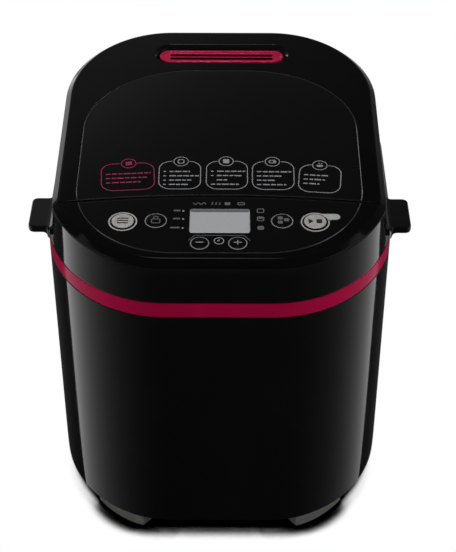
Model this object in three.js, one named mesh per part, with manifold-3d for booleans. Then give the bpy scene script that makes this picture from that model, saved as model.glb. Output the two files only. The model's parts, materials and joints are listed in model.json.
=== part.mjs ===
// Bread machine, single loaf, with a hinged lid, a sloping control console and a belt-driven kneading paddle.
// Units are millimetres, +Z up, the front faces -Y, and the origin is under the middle of the machine.
import * as THREE from "three";
import { mergeVertices } from "three/addons/utils/BufferGeometryUtils.js";
import Module from "manifold-3d";

const wasm = await Module();
wasm.setup();

// ---------------------------------------------------------------- driving dimensions

// Fits shared by the whole machine.
const SEAT_GAP = 0.3; // between a piece and the neighbour that carries it
const RUNNING_GAP = 0.3; // round a shaft, pin or button
const SEAM_GAP = 0.8; // between lid and console
const PLATE = 1.2; // sheet metal of the chamber
const OVERLAP = 1; // how far joined shapes reach into each other, and cutters past a face

// Casing, seen from above at the accent band.
const HALF_WIDTH = 135;
const HALF_DEPTH = 153;
const FRONT = -HALF_DEPTH;
const BACK = HALF_DEPTH;
const FRONT_CORNER = { x: 95.4, y: 112.6 };
const BACK_CORNER = { x: 86, y: 94 };
const WALL = 2.8;

// Levels of the casing.
const FOOT_HEIGHT = 10;
const BASE_THICKNESS = 3;
const BAND_BOTTOM = 224.3;
const BAND_TOP = 237.3;
const BAND_THICKNESS = 2.4;
const COLLAR_THICKNESS = 2.6;
const SHOULDER_Z = BAND_TOP + 7.3;
const WALL_DRAFT = 3; // how far the wall comes in from the band down to its foot
const CONSOLE_DRAFT = 0.8; // how far the console's wall comes in above the band

// Sloping top, shared by console and lid.
const TILT = THREE.MathUtils.degToRad(5);
const TOP_Z = 287.66; // height of the top plane over the origin
const NECK_INSET = 7.2; // lid and neck are this much narrower than the casing on each side
const EDGE_DROP = 5.1; // height of the rounded edge round the top
const EDGE_RUN = 5.6; // width of that edge
const SEAM_Y = FRONT + 77.1; // where lid and console meet on the centre line
const SEAM_RADIUS = 863;

// Lid.
const LID_HEIGHT = 20;
const LID_GAP = 0.9;
const LID_WALL = 2.5;
const LID_FRONT_RELIEF = 2.2; // the lid's front wall stands back by this below its lip
const LID_LIP = 4;
const LINER_DROP = 15.6;
const LINER_THICKNESS = 1.5;
const LINER_SCREW = { inset: 27, behindSeam: 18 };
const STEAM_HOLES = { count: 7, pitch: 12, radius: 3, ahead: 20 };

// Glossy inlays let into lid and console, one racetrack outline cut by the seam.
const INLAY = {
  halfWidth: HALF_WIDTH - 25.7,
  front: FRONT + 11.3,
  back: BACK - 63.6,
  frontCorner: { x: 75.2, y: 75.9 },
  backCorner: { x: 86.5, y: 80.5 },
};
const INLAY_POCKET = 1.3;
const INLAY_THICKNESS = 0.9;
const INLAY_SIDE_GAP = 0.35;
const INLAY_SEAM_RIM = 1; // rim left between inlay and seam

// Steam vent in the lid.
const VENT = { fromBack: 38.5, length: 104.6, width: 19.5, margin: 4, slotInset: 8.8, slotWidth: 2.4 };
const VENT_DEPTH = 4.2;
const VENT_THICKNESS = 2.4;
const VENT_SLOT_SPACING = 6;
const VENT_LEDGE = 4; // ledge that the insert rests on
const VENT_Y = BACK - VENT.fromBack;

// Console plate and what it holds. Places are measured from the front of the casing.
const CONSOLE_PLATE = 3.2;
const LENS = { fromFront: 48, width: 46, depth: 28, thickness: 1.0, ledge: 1 };
const LCD_BORDER = { x: 5, y: 2.5 };
const BUTTON_PROUD = 0.9;
const BUTTON_CROWN = 0.5;
const BUTTON_TRAVEL = 1.2;
const BUTTON_FLANGE = { extra: 1.3, thickness: 1.4 };
const LARGE_BUTTON = { radius: 8.9, fromFront: 46.5, colour: 0xb9b9b6 };
const MEDIUM_BUTTON = { radius: 7.4, fromFront: 47.6, colour: 0x2a2a2c };
const SMALL_BUTTON = { radius: 6.3, fromFront: 22.2, colour: 0x2a2a2c };
const BUTTONS = [
  { name: "button_menu", x: -71.6, ...LARGE_BUTTON },
  { name: "button_weight", x: -47, ...MEDIUM_BUTTON },
  { name: "button_minus", x: -14, ...SMALL_BUTTON },
  { name: "button_plus", x: 14, ...SMALL_BUTTON },
  { name: "button_crust", x: 47, ...MEDIUM_BUTTON },
  { name: "button_start_stop", x: 71.6, ...LARGE_BUTTON },
];
const LIGHT_GUIDE = { gap: 0.7, width: 1.6, tabEnd: 20, tabLow: 2.2, tabHigh: 10.2, tabPoint: 2, thickness: 0.8 };
const BOARD = { front: FRONT + 13, back: FRONT + 65, thickness: 1.6, inset: 13, post: 3.4 };
const BOARD_POSTS = [
  { x: 60, y: FRONT + 60.5 },
  { x: 58, y: FRONT + 29 },
];
const SWITCH = { size: 6, height: 4 };
const CONNECTOR = { halfWidth: 12, depth: 6, height: 8, fromBoardBack: 2 };

// Side lugs that the machine is carried by.
const LUG = { proud: 14.2, root: 6, front: FRONT + 88, back: FRONT + 128, thickness: 6, corner: 5 };

// Baking chamber, pan and heater, all round one vertical axis.
const CHAMBER = { halfX: 90, halfY: 95, corner: 46, floor: 60, flange: 6, behind: 30 };
const LOAF_Y = BACK - CHAMBER.behind - CHAMBER.halfY;
const DECK_DROP = 22.5; // deck below the top plane
const DECK_THICKNESS = 3;
const PAN = { sideGap: 18, endGap: 15, corner: 34, wall: 1.6, bottom: 84, top: 236, rim: 4, rimThickness: 2 };
const PAN_HALF_X = CHAMBER.halfX - PAN.sideGap;
const PAN_HALF_Y = CHAMBER.halfY - PAN.endGap;
const PAN_FOOT = { radius: 38, wall: 3 };
const SOCKET = { wall: 6, height: 15, floor: 3, bevel: 2.5 };
const BUSH = { radius: 12, neck: 8, rise: 4, below: 6 };
const EAR = { width: 12, height: 16, thickness: 2.5, hole: 2.6 };
const BAIL = { wire: 2.2, bend: 30 };
const HEATER = { tube: 3.2, sideGap: 9, endGap: 7.5, corner: 42, z: 96, legX: 16, legOut: 12, bend: 6 };
const BUSHING = { radius: 6, length: 12, flange: 2 };
const SENSOR = { radius: 3, z: 130, x: 40, flange: 7, flangeThickness: 2, body: 12 };

// Drive line.
const SHAFT_RADIUS = 4;
const PAN_SHAFT_RADIUS = 4.5;
const COUPLING = { radius: 10, barWidth: 5, barHeight: 6, prongWidth: 6, prongDepth: 3, flange: 3, clear: 2 };
const PULLEY = { bottom: 27, top: 39, beltInset: 2, large: 36, small: 9, flange: 2 };
const SHAFT_END = 2; // how far the shafts reach below their pulleys
const BELT_THICKNESS = 1.8;
const MOTOR = { y: FRONT + 43, radius: 30, height: 72, shaft: 3, shaftIn: 10, round: 4, cap: 8 };
const FRAME = { top: 47, thickness: 3, halfX: 58, front: FRONT + 7, behindShaft: 46, pillar: 5, corner: 12 };
const FRAME_PILLARS = { side: 6, front: 28 };
const BEARING = { seat: 4, flange: 16, flangeThickness: 3, sleeve: 11 };
const PADDLE = { hub: 9, hubHeight: 20, length: 46, height: 34, thickness: 5, lift: 3, cap: 2, draft: 1.5, nose: 22 };

// Lid hinge.
const HINGE = {
  x: 32, width: 12, inset: 4, aboveSkirt: 13, knuckle: 3.6, pin: 1.6,
  cheek: 6, side: 0.5, footLength: 15, footHeight: 2.5, room: 2,
};

// Fasteners, gland and boards.
const SCREW = { head: 3.4, headHeight: 1.6, shank: 1.7, length: 9 };
const BOSS = { radius: 5, height: 27, ribLength: 36, ribThickness: 2.4 };
const BASE_SCREW = { front: { x: HALF_WIDTH - 47, y: FRONT + 49 }, back: { x: HALF_WIDTH - 39, y: BACK - 49 } };
const GLAND = { x: -35, z: 36, radius: 6, flange: 9, flangeThickness: 2, inside: 7, bore: 3.6 };
const POWER_BOARD = {
  x: 38 - HALF_WIDTH, y: LOAF_Y - 18, width: 46, length: 104, thickness: 1.6, standoff: 9, corner: 5, post: 3,
};
const RELAY = { x: [-10, 8], y: [-34, -12], height: 16 };
const TRANSFORMER = { x: [-14, 14], y: [2, 30], height: 24 };
const TERMINALS = { x: [-18, -4], y: [34, 46], height: 12 };
const CAPACITOR = { x: 10, y: 40, radius: 7, height: 20 };
const REAR_SLOTS = { count: 7, pitch: 10, width: 3.2, bottom: 150, top: 195 };
const BASE_SLOTS = { count: 5, pitch: 8, width: 4, x: 86, front: -20, back: 30 };

// ---------------------------------------------------------------- solids

const ROUND = 16;
const SMALL_ROUND = 10;
const LARGE_ROUND = 24;
const WIRE_SIDES = 6;
const WIRE_STEPS = { heater: 60, bail: 28 };
const CURVE_SEGMENTS = 4;

// Turns a closed three.js geometry into a solid that can be joined and cut.
function solid(geometry) {
  const bare = new THREE.BufferGeometry();
  const flat = geometry.index ? geometry.toNonIndexed() : geometry;
  bare.setAttribute("position", flat.getAttribute("position"));
  const merged = mergeVertices(bare, 1e-4);
  return new wasm.Manifold(
    new wasm.Mesh({
      numProp: 3,
      vertProperties: merged.attributes.position.array,
      triVerts: new Uint32Array(merged.index.array),
    }),
  );
}

// Turns a solid back into a geometry with flat-shaded faces.
function geometryOf(body) {
  const mesh = body.getMesh();
  const geometry = new THREE.BufferGeometry();
  geometry.setAttribute("position", new THREE.BufferAttribute(new Float32Array(mesh.vertProperties), 3));
  geometry.setIndex(new THREE.BufferAttribute(new Uint32Array(mesh.triVerts), 1));
  const faceted = geometry.toNonIndexed();
  faceted.computeVertexNormals();
  return faceted;
}

const join = (first, ...rest) => rest.reduce((sum, body) => sum.add(body), first);
const cut = (first, ...rest) => rest.reduce((sum, body) => sum.subtract(body), first);
const common = (first, ...rest) => rest.reduce((sum, body) => sum.intersect(body), first);

// An upright prism of a shape between two heights.
function prismGeometry(shape, bottom, top, curveSegments = CURVE_SEGMENTS) {
  const options = { depth: top - bottom, bevelEnabled: false, curveSegments };
  return new THREE.ExtrudeGeometry(shape, options).translate(0, 0, bottom);
}

const prism = (shape, bottom, top) => solid(prismGeometry(shape, bottom, top));

// A prism whose wall comes in by one amount at the bottom and another at the top.
function draftedPrism(shape, bottom, top, bottomInset, topInset) {
  const geometry = prismGeometry(shape, bottom, top);
  const position = geometry.getAttribute("position");
  for (let i = 0; i < position.count; i += 1) {
    const share = (position.getZ(i) - bottom) / (top - bottom);
    const inset = THREE.MathUtils.lerp(bottomInset, topInset, share);
    position.setX(i, position.getX(i) * (1 - inset / HALF_WIDTH));
    position.setY(i, position.getY(i) * (1 - inset / HALF_DEPTH));
  }
  return solid(geometry);
}

function boxGeometry(low, high) {
  const size = high.map((value, axis) => value - low[axis]);
  const middle = high.map((value, axis) => (value + low[axis]) / 2);
  return new THREE.BoxGeometry(...size).translate(...middle);
}

const box = (low, high) => solid(boxGeometry(low, high));

// A cylinder that stands on Z.
function rodGeometry(radius, bottom, top, segments = ROUND) {
  const geometry = new THREE.CylinderGeometry(radius, radius, top - bottom, segments);
  return geometry.rotateX(Math.PI / 2).translate(0, 0, (bottom + top) / 2);
}

const rod = (radius, bottom, top, x = 0, y = 0, segments = ROUND) =>
  solid(rodGeometry(radius, bottom, top, segments).translate(x, y, 0));

// An upright hole for a screw's shank.
const pilot = (bottom, top, x, y) => rod(SCREW.shank + RUNNING_GAP, bottom, top, x, y, SMALL_ROUND);

// A cylinder that lies along X, between two places on X.
function crossRod(radius, left, right, y, z, segments = ROUND) {
  const geometry = new THREE.CylinderGeometry(radius, radius, right - left, segments);
  return solid(geometry.rotateZ(Math.PI / 2).translate((left + right) / 2, y, z));
}

// A cylinder that lies along Y, between two places on Y.
function lengthRod(radius, front, back, x, z, segments = ROUND) {
  const geometry = new THREE.CylinderGeometry(radius, radius, back - front, segments);
  return solid(geometry.translate(x, (front + back) / 2, z));
}

// A solid of revolution about Z from (radius, height) points given anticlockwise.
function turned(points, segments = ROUND) {
  const profile = points.map(([radius, height]) => new THREE.Vector2(radius, height));
  profile.push(profile[0].clone());
  return solid(new THREE.LatheGeometry(profile, segments).rotateX(Math.PI / 2));
}

// ---------------------------------------------------------------- outlines

// Outline with elliptical corners. The front corners belong to the full width and stop at halfWidth.
function outline({ halfWidth, front, back, frontCorner, backCorner, fullWidth = halfWidth }, inset = 0) {
  const side = halfWidth - inset;
  const frontX = fullWidth - frontCorner.x;
  const frontY = front + frontCorner.y;
  const backX = halfWidth - backCorner.x;
  const backY = back - backCorner.y;
  const frontRx = frontCorner.x - inset;
  const frontRy = frontCorner.y - inset;
  const backRx = backCorner.x - inset;
  const backRy = backCorner.y - inset;
  const stop = Math.acos(Math.min(1, (side - frontX) / frontRx));
  const quarter = Math.PI / 2;
  const shape = new THREE.Shape();
  shape.moveTo(-frontX, front + inset);
  shape.lineTo(frontX, front + inset);
  shape.absellipse(frontX, frontY, frontRx, frontRy, -quarter, -stop, false, 0);
  shape.lineTo(side, backY);
  shape.absellipse(backX, backY, backRx, backRy, 0, quarter, false, 0);
  shape.lineTo(-backX, back - inset);
  shape.absellipse(-backX, backY, backRx, backRy, quarter, Math.PI, false, 0);
  shape.lineTo(-side, frontY - frontRy * Math.sin(stop));
  shape.absellipse(-frontX, frontY, frontRx, frontRy, Math.PI + stop, Math.PI + quarter, false, 0);
  return shape;
}

const EDGE_INSET = CONSOLE_DRAFT; // the lid's back stands in from the casing's by this
const LID_HALF_WIDTH = HALF_WIDTH - NECK_INSET;
const CASING = { halfWidth: HALF_WIDTH, front: FRONT, back: BACK, frontCorner: FRONT_CORNER, backCorner: BACK_CORNER };
const TOP = { ...CASING, halfWidth: LID_HALF_WIDTH, fullWidth: HALF_WIDTH, back: BACK - EDGE_INSET };
const casing = (inset = 0) => outline(CASING, inset);
const topOutline = (inset = 0) => outline(TOP, inset + CONSOLE_DRAFT);

// Rectangle with round corners about a middle point.
function roundedRectangle(halfX, halfY, corner, x = 0, y = 0) {
  const corners = { x: corner, y: corner };
  const shape = outline({ halfWidth: halfX, front: -halfY, back: halfY, frontCorner: corners, backCorner: corners });
  const points = shape.getPoints(CURVE_SEGMENTS).map((point) => new THREE.Vector2(point.x + x, point.y + y));
  return new THREE.Shape(points);
}

// Everything in front of the seam, let out by a margin.
function consoleRegion(margin = 0) {
  const radius = SEAM_RADIUS + margin;
  const far = 2 * HALF_WIDTH;
  const angle = Math.acos(far / radius);
  const shape = new THREE.Shape();
  shape.moveTo(-far, -far);
  shape.lineTo(far, -far);
  shape.absarc(0, SEAM_Y - SEAM_RADIUS, radius, angle, Math.PI - angle, false);
  return shape;
}

// ---------------------------------------------------------------- the sloping top

const SLOPE = Math.tan(TILT);
const SHEAR = new THREE.Matrix4().set(1, 0, 0, 0, 0, 1, 0, 0, 0, SLOPE, 1, TOP_Z, 0, 0, 0, 1);
const TOP_FRAME = new THREE.Matrix4().makeRotationX(TILT).setPosition(0, 0, TOP_Z);
const topHeight = (y) => TOP_Z + y * SLOPE;
const alongTop = (y) => y / Math.cos(TILT);

// An upright prism whose ends lie parallel to the top plane, at two depths from it.
const topPrism = (shape, low, high) => solid(prismGeometry(shape, low, high).applyMatrix4(SHEAR));
const topBox = (low, high) => solid(boxGeometry(low, high).applyMatrix4(SHEAR));

// A rod square to the top plane.
const topRod = (radius, low, high, x, y) =>
  solid(rodGeometry(radius, low, high).translate(x, alongTop(y), 0).applyMatrix4(TOP_FRAME));

// An upright rod whose ends lie parallel to the top plane.
const rodOnTop = (radius, low, high, x, y) =>
  solid(rodGeometry(radius, low, high, SMALL_ROUND).translate(x, y, 0).applyMatrix4(SHEAR));

// The block that console and lid are both cut from, with its rounded upper edge.
function topBlock() {
  const depth = 2 * LID_HEIGHT;
  const options = {
    depth: depth - 2 * EDGE_DROP,
    bevelEnabled: true,
    bevelThickness: EDGE_DROP,
    bevelSize: EDGE_RUN,
    bevelOffset: -EDGE_RUN,
    bevelSegments: 3,
    curveSegments: CURVE_SEGMENTS,
  };
  const geometry = new THREE.ExtrudeGeometry(topOutline(), options).translate(0, 0, EDGE_DROP - depth);
  return solid(geometry.applyMatrix4(SHEAR));
}

const inlayShape = (inset) => outline(INLAY, inset);
const beyond = 2 * LID_HEIGHT; // deeper than anything in the top

// The part of a shape that lies behind the seam, or behind a line set back from it by a margin.
const behindSeam = (shape, low, high, margin) =>
  cut(topPrism(shape, low, high), topPrism(consoleRegion(margin), -beyond - OVERLAP, beyond + OVERLAP));

// ---------------------------------------------------------------- scene helpers

const machine = new THREE.Group();
machine.name = "bread_machine";

const finishes = {
  glossBlack: { color: 0x0b0b0c, roughness: 0.15, metalness: 0 },
  mattBlack: { color: 0x18181a, roughness: 0.6, metalness: 0 },
  crimson: { color: 0x8c0a2c, roughness: 0.2, metalness: 0.2 },
  rubber: { color: 0x1c1c1c, roughness: 0.9, metalness: 0 },
  clear: { color: 0xb9bcb8, roughness: 0.1, metalness: 0 },
  steel: { color: 0xa9abad, roughness: 0.35, metalness: 1 },
  aluminium: { color: 0xb4b6b8, roughness: 0.4, metalness: 1 },
  nonStick: { color: 0x2b2b2d, roughness: 0.5, metalness: 0.3 },
  brass: { color: 0xb08d4c, roughness: 0.4, metalness: 1 },
  ceramic: { color: 0xe4e0d6, roughness: 0.7, metalness: 0 },
  board: { color: 0x1f5a38, roughness: 0.6, metalness: 0 },
  belt: { color: 0x151515, roughness: 0.85, metalness: 0 },
};

function material(finish) {
  const { color, roughness, metalness } = finish;
  return new THREE.MeshStandardMaterial({ color, roughness, metalness });
}

function addPiece(parent, name, body, finish) {
  const mesh = new THREE.Mesh(geometryOf(body), material(finish));
  mesh.name = name;
  parent.add(mesh);
  return mesh;
}

// ---------------------------------------------------------------- casing

const BASE_TOP = FOOT_HEIGHT + BASE_THICKNESS;
const SIDES = [["left", -1], ["right", 1]];
const SCREW_PLACES = SIDES.flatMap(([side, sign]) =>
  Object.entries(BASE_SCREW).map(([end, { x, y }]) => ({ name: `${end}_${side}`, x: sign * x, y })),
);

// A rib from each boss out to the wall.
function bossRib({ x, y }) {
  const rib = new THREE.BoxGeometry(BOSS.ribLength, BOSS.ribThickness, BOSS.height);
  rib.translate((BOSS.ribLength + BOSS.radius) / 2, 0, BASE_TOP + BOSS.height / 2);
  return solid(rib.rotateZ(Math.atan2(y, x)).translate(x, y, 0));
}

// Upright slots side by side, centred on x.
function slotRow({ count, pitch, width }, x, low, high) {
  return Array.from({ length: count }, (_, i) => {
    const middle = x + (i - (count - 1) / 2) * pitch;
    return box([middle - width / 2, ...low], [middle + width / 2, ...high]);
  });
}

function lowerShell() {
  const collarInset = BAND_THICKNESS + SEAT_GAP;
  const ledge = BAND_BOTTOM - SEAT_GAP;
  const wallOut = draftedPrism(casing(), FOOT_HEIGHT, ledge, WALL_DRAFT, 0);
  const wallIn = draftedPrism(casing(WALL), FOOT_HEIGHT - OVERLAP, ledge - WALL, WALL_DRAFT, 0);
  const collarOut = prism(casing(collarInset), ledge - WALL, BAND_TOP);
  const collarIn = prism(casing(collarInset + COLLAR_THICKNESS), ledge - 2 * WALL, BAND_TOP + OVERLAP);
  const inside = draftedPrism(casing(WALL / 2), FOOT_HEIGHT, ledge, WALL_DRAFT, 0);
  const ribs = SCREW_PLACES.map((place) => common(bossRib(place), inside));
  const bosses = SCREW_PLACES.map(({ x, y }) => rod(BOSS.radius, BASE_TOP, BASE_TOP + BOSS.height, x, y));
  const shell = cut(join(wallOut, collarOut), wallIn, collarIn);
  const pilots = SCREW_PLACES.map(({ x, y }) => pilot(0, BASE_TOP + SCREW.length, x, y));
  const glandHole = lengthRod(GLAND.radius + RUNNING_GAP, 0, BACK + WALL, GLAND.x, GLAND.z);
  const slots = slotRow(REAR_SLOTS, 0, [BACK - 2 * WALL, REAR_SLOTS.bottom], [BACK + WALL, REAR_SLOTS.top]);
  return cut(join(shell, ...ribs, ...bosses), ...pilots, glandHole, ...slots);
}

function accentBand() {
  const hollow = prism(casing(BAND_THICKNESS), BAND_BOTTOM - OVERLAP, BAND_TOP + OVERLAP);
  return cut(prism(casing(), BAND_BOTTOM, BAND_TOP), hollow);
}

// A side lug, which follows the casing with its inner edge.
function sideLug(side) {
  const reach = HALF_WIDTH + LUG.proud;
  const root = HALF_WIDTH - LUG.root;
  const middleY = (LUG.front + LUG.back) / 2;
  const halfY = (LUG.back - LUG.front) / 2;
  const shape = roundedRectangle((reach - root) / 2, halfY, LUG.corner, (side * (reach + root)) / 2, middleY);
  const slab = prism(shape, SHOULDER_Z - LUG.thickness, SHOULDER_Z);
  return cut(slab, prism(casing(-SEAT_GAP), BAND_BOTTOM, SHOULDER_Z + OVERLAP));
}

// The wall above the band stands on the band, and comes in at a shoulder behind the console.
function upperShellOutside(bottom, high) {
  const rise = (high - bottom) / (topHeight(FRONT) - EDGE_DROP - bottom);
  const behind = cut(prism(casing(), bottom, SHOULDER_Z), prism(consoleRegion(), 0, high));
  const ahead = draftedPrism(casing(), bottom, high, 0, CONSOLE_DRAFT * rise);
  const neck = prism(topOutline(), bottom, high);
  return join(behind, neck, common(ahead, prism(consoleRegion(), bottom, high)));
}

function upperShell() {
  const bottom = BAND_TOP + SEAT_GAP;
  const flangeTop = bottom + WALL;
  const flangeInset = BAND_THICKNESS + SEAT_GAP + COLLAR_THICKNESS;
  const high = topHeight(BACK);
  const hollow = prism(topOutline(WALL), flangeTop, high);
  const mouth = prism(casing(flangeInset), bottom - OVERLAP, flangeTop + OVERLAP);
  const shoulder = prism(casing(WALL), flangeTop, SHOULDER_Z - WALL);
  const aboveConsole = topPrism(consoleRegion(), -EDGE_DROP - SEAT_GAP, beyond);
  const aboveRim = behindSeam(casing(-WALL), -LID_HEIGHT, beyond, 0);
  const aboveDeck = behindSeam(topOutline(WALL), -DECK_DROP, beyond, 0);
  const deck = behindSeam(topOutline(WALL / 2), -DECK_DROP - DECK_THICKNESS, beyond, -WALL);
  const chamberHole = chamberPrism(PLATE + SEAT_GAP, 0, high);
  const room = cut(join(hollow, mouth, shoulder), deck);
  const pilots = flangeScrewPlaces().map(({ x, y }) => pilot(0, high, x, y));
  return cut(upperShellOutside(bottom, high), room, aboveConsole, aboveRim, aboveDeck, chamberHole, ...pilots);
}

function basePlate() {
  const plate = draftedPrism(casing(WALL + SEAT_GAP), FOOT_HEIGHT, BASE_TOP, WALL_DRAFT, WALL_DRAFT);
  const postTop = BASE_TOP + POWER_BOARD.standoff;
  const posts = powerBoardCorners().map(({ x, y }) => rod(POWER_BOARD.post, FOOT_HEIGHT, postTop, x, y, SMALL_ROUND));
  const holes = SCREW_PLACES.map(({ x, y }) => pilot(0, BASE_TOP + OVERLAP, x, y));
  const sinkRadius = SCREW.head + RUNNING_GAP;
  const sinks = SCREW_PLACES.map(({ x, y }) => rod(sinkRadius, 0, FOOT_HEIGHT + SCREW.headHeight, x, y, SMALL_ROUND));
  const slots = slotRow(BASE_SLOTS, BASE_SLOTS.x, [BASE_SLOTS.front, 0], [BASE_SLOTS.back, BASE_TOP + OVERLAP]);
  return cut(join(plate, ...posts), ...holes, ...sinks, ...slots);
}

// A foot follows the corner above it, with round ends. Its ends are given as shares of the corner.
const FOOT = { inset: 8.3, halfWidth: 5.5, from: 0.24, to: 0.86, steps: 10, endSteps: 3 };

function footShape(corner) {
  const rx = corner.x - FOOT.inset;
  const ry = corner.y - FOOT.inset;
  const place = (share) => {
    const angle = (Math.PI / 2) * (1 - share);
    const point = new THREE.Vector2(rx * Math.cos(angle), ry * Math.sin(angle));
    return { point, normal: new THREE.Vector2(Math.cos(angle) / rx, Math.sin(angle) / ry).normalize() };
  };
  const side = (sign) =>
    Array.from({ length: FOOT.steps + 1 }, (_, i) => {
      const { point, normal } = place(THREE.MathUtils.lerp(FOOT.from, FOOT.to, i / FOOT.steps));
      return point.addScaledVector(normal, sign * FOOT.halfWidth);
    });
  const end = (share, turn) =>
    Array.from({ length: FOOT.endSteps }, (_, i) => {
      const { point, normal } = place(share);
      const angle = (turn * Math.PI * (i + 1)) / (FOOT.endSteps + 1);
      return point.addScaledVector(normal.rotateAround(new THREE.Vector2(), angle), FOOT.halfWidth);
    });
  return new THREE.Shape([...side(1), ...end(FOOT.to, -1), ...side(-1).reverse(), ...end(FOOT.from, 1).reverse()]);
}

function addFeet(parent) {
  for (const [end, corner, forward] of [["front", FRONT_CORNER, -1], ["back", BACK_CORNER, 1]]) {
    const x = HALF_WIDTH - WALL_DRAFT - corner.x;
    const y = HALF_DEPTH - WALL_DRAFT - corner.y;
    const foot = prism(footShape(corner), 0, FOOT_HEIGHT).translate([x, y, 0]);
    const placed = forward < 0 ? foot.mirror([0, 1, 0]) : foot;
    for (const [side, sign] of SIDES) {
      addPiece(parent, `foot_${end}_${side}`, sign < 0 ? placed.mirror([1, 0, 0]) : placed, finishes.rubber);
    }
  }
}

// ---------------------------------------------------------------- fasteners

// A pan-head screw whose head's underside is at the origin, with its shank along -Z.
function screw(length) {
  const head = rod(SCREW.head, 0, SCREW.headHeight, 0, 0, SMALL_ROUND);
  return join(head, rod(SCREW.shank, -length, SCREW.headHeight / 2, 0, 0, SMALL_ROUND));
}

function addScrew(parent, name, x, y, z, fromBelow, length = SCREW.length) {
  const mesh = addPiece(parent, name, screw(length), finishes.steel);
  mesh.position.set(x, y, z);
  mesh.rotation.x = fromBelow ? Math.PI : 0;
}

// ---------------------------------------------------------------- console

const START_STOP = BUTTONS.find(({ name }) => name === "button_start_stop");
const buttonY = ({ fromFront }) => FRONT + fromFront;
const LENS_Y = FRONT + LENS.fromFront;

// A shape in the flat frame of the top, about a point of it, before it is tilted.
const tilted = (geometry, x, y) => solid(geometry.translate(x, alongTop(y), 0).applyMatrix4(TOP_FRAME));
const lensBox = (grow, low, high) => {
  const x = LENS.width / 2 + grow;
  const y = LENS.depth / 2 + grow;
  return tilted(boxGeometry([-x, -y, low], [x, y, high]), 0, LENS_Y);
};
const buttonHoles = () =>
  BUTTONS.map((button) => topRod(button.radius + RUNNING_GAP, -beyond, beyond, button.x, buttonY(button)));

// Outline of the light guide: a ring with a tab on its right.
function lightGuideShape(grow) {
  const { gap, width, tabEnd, tabLow, tabHigh, tabPoint } = LIGHT_GUIDE;
  const edge = START_STOP.radius + gap + width + grow;
  const shape = new THREE.Shape();
  shape.absarc(0, 0, edge, Math.asin((tabHigh + grow) / edge), Math.asin((tabLow - grow) / edge) + 2 * Math.PI, false);
  shape.lineTo(tabEnd + grow - tabPoint, tabLow - grow);
  shape.lineTo(tabEnd + grow, (tabLow + tabHigh) / 2);
  shape.lineTo(tabEnd + grow - tabPoint, tabHigh + grow);
  shape.closePath();
  return shape;
}

// Inside of the console, which leaves a flat plate with a rim.
function underConsole() {
  const region = topPrism(consoleRegion(-SEAM_GAP / 2 - WALL), -beyond, -CONSOLE_PLATE);
  return common(topPrism(topOutline(WALL), -beyond, beyond), region);
}

function controlFascia(block) {
  const rim = -SEAM_GAP / 2 - INLAY_SEAM_RIM;
  const front = common(block, topPrism(consoleRegion(-SEAM_GAP / 2), -EDGE_DROP, beyond));
  const pocket = common(topPrism(inlayShape(0), -INLAY_POCKET, beyond), topPrism(consoleRegion(rim), -beyond, beyond));
  const window = lensBox(-LENS.ledge, -beyond, beyond);
  const posts = BOARD_POSTS.flatMap(({ x, y }) =>
    SIDES.map(([, sign]) => topRod(BOARD.post, SEAT_GAP - boardTop, OVERLAP - CONSOLE_PLATE, sign * x, y)),
  );
  return join(cut(front, underConsole(), pocket, window, ...buttonHoles()), ...posts);
}

function fasciaInlay() {
  const low = -INLAY_POCKET + SEAT_GAP;
  const rim = -SEAM_GAP / 2 - INLAY_SEAM_RIM - INLAY_SIDE_GAP;
  const region = topPrism(consoleRegion(rim), -beyond, beyond);
  const sheet = common(topPrism(inlayShape(INLAY_SIDE_GAP), low, low + INLAY_THICKNESS), region);
  const guide = prismGeometry(lightGuideShape(RUNNING_GAP), -beyond, beyond);
  const guideHole = tilted(guide, START_STOP.x, buttonY(START_STOP));
  return cut(sheet, lensBox(RUNNING_GAP, -beyond, beyond), guideHole, ...buttonHoles());
}

// Buttons carry a flange that the console keeps in, and press a switch on the board.
const flangeTopDepth = CONSOLE_PLATE + SEAT_GAP;
const flangeBottomDepth = flangeTopDepth + BUTTON_FLANGE.thickness;
const switchTopDepth = flangeBottomDepth + BUTTON_TRAVEL + SEAT_GAP;
const boardTop = switchTopDepth + SWITCH.height;

function buttonBody(radius) {
  const outer = radius + BUTTON_FLANGE.extra;
  return turned([
    [0, -flangeBottomDepth],
    [outer, -flangeBottomDepth],
    [outer, -flangeTopDepth],
    [radius, -flangeTopDepth],
    [radius, BUTTON_PROUD - BUTTON_CROWN],
    [radius - BUTTON_CROWN, BUTTON_PROUD],
    [0, BUTTON_PROUD],
  ]);
}

function controlBoard() {
  const low = [-HALF_WIDTH, alongTop(BOARD.front), -boardTop - BOARD.thickness];
  const high = [HALF_WIDTH, alongTop(BOARD.back), -boardTop];
  const sheet = common(tilted(boxGeometry(low, high), 0, 0), prism(topOutline(BOARD.inset), 0, TOP_Z));
  const half = SWITCH.size / 2;
  const switchBox = boxGeometry([-half, -half, -boardTop - OVERLAP], [half, half, -switchTopDepth]);
  const switches = BUTTONS.map((button) => tilted(switchBox.clone(), button.x, buttonY(button)));
  const { halfWidth, depth, height, fromBoardBack } = CONNECTOR;
  const plug = boxGeometry([-halfWidth, -depth, -boardTop - height], [halfWidth, 0, -boardTop]);
  return join(sheet, tilted(plug, 0, BOARD.back - fromBoardBack), ...switches);
}

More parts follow.
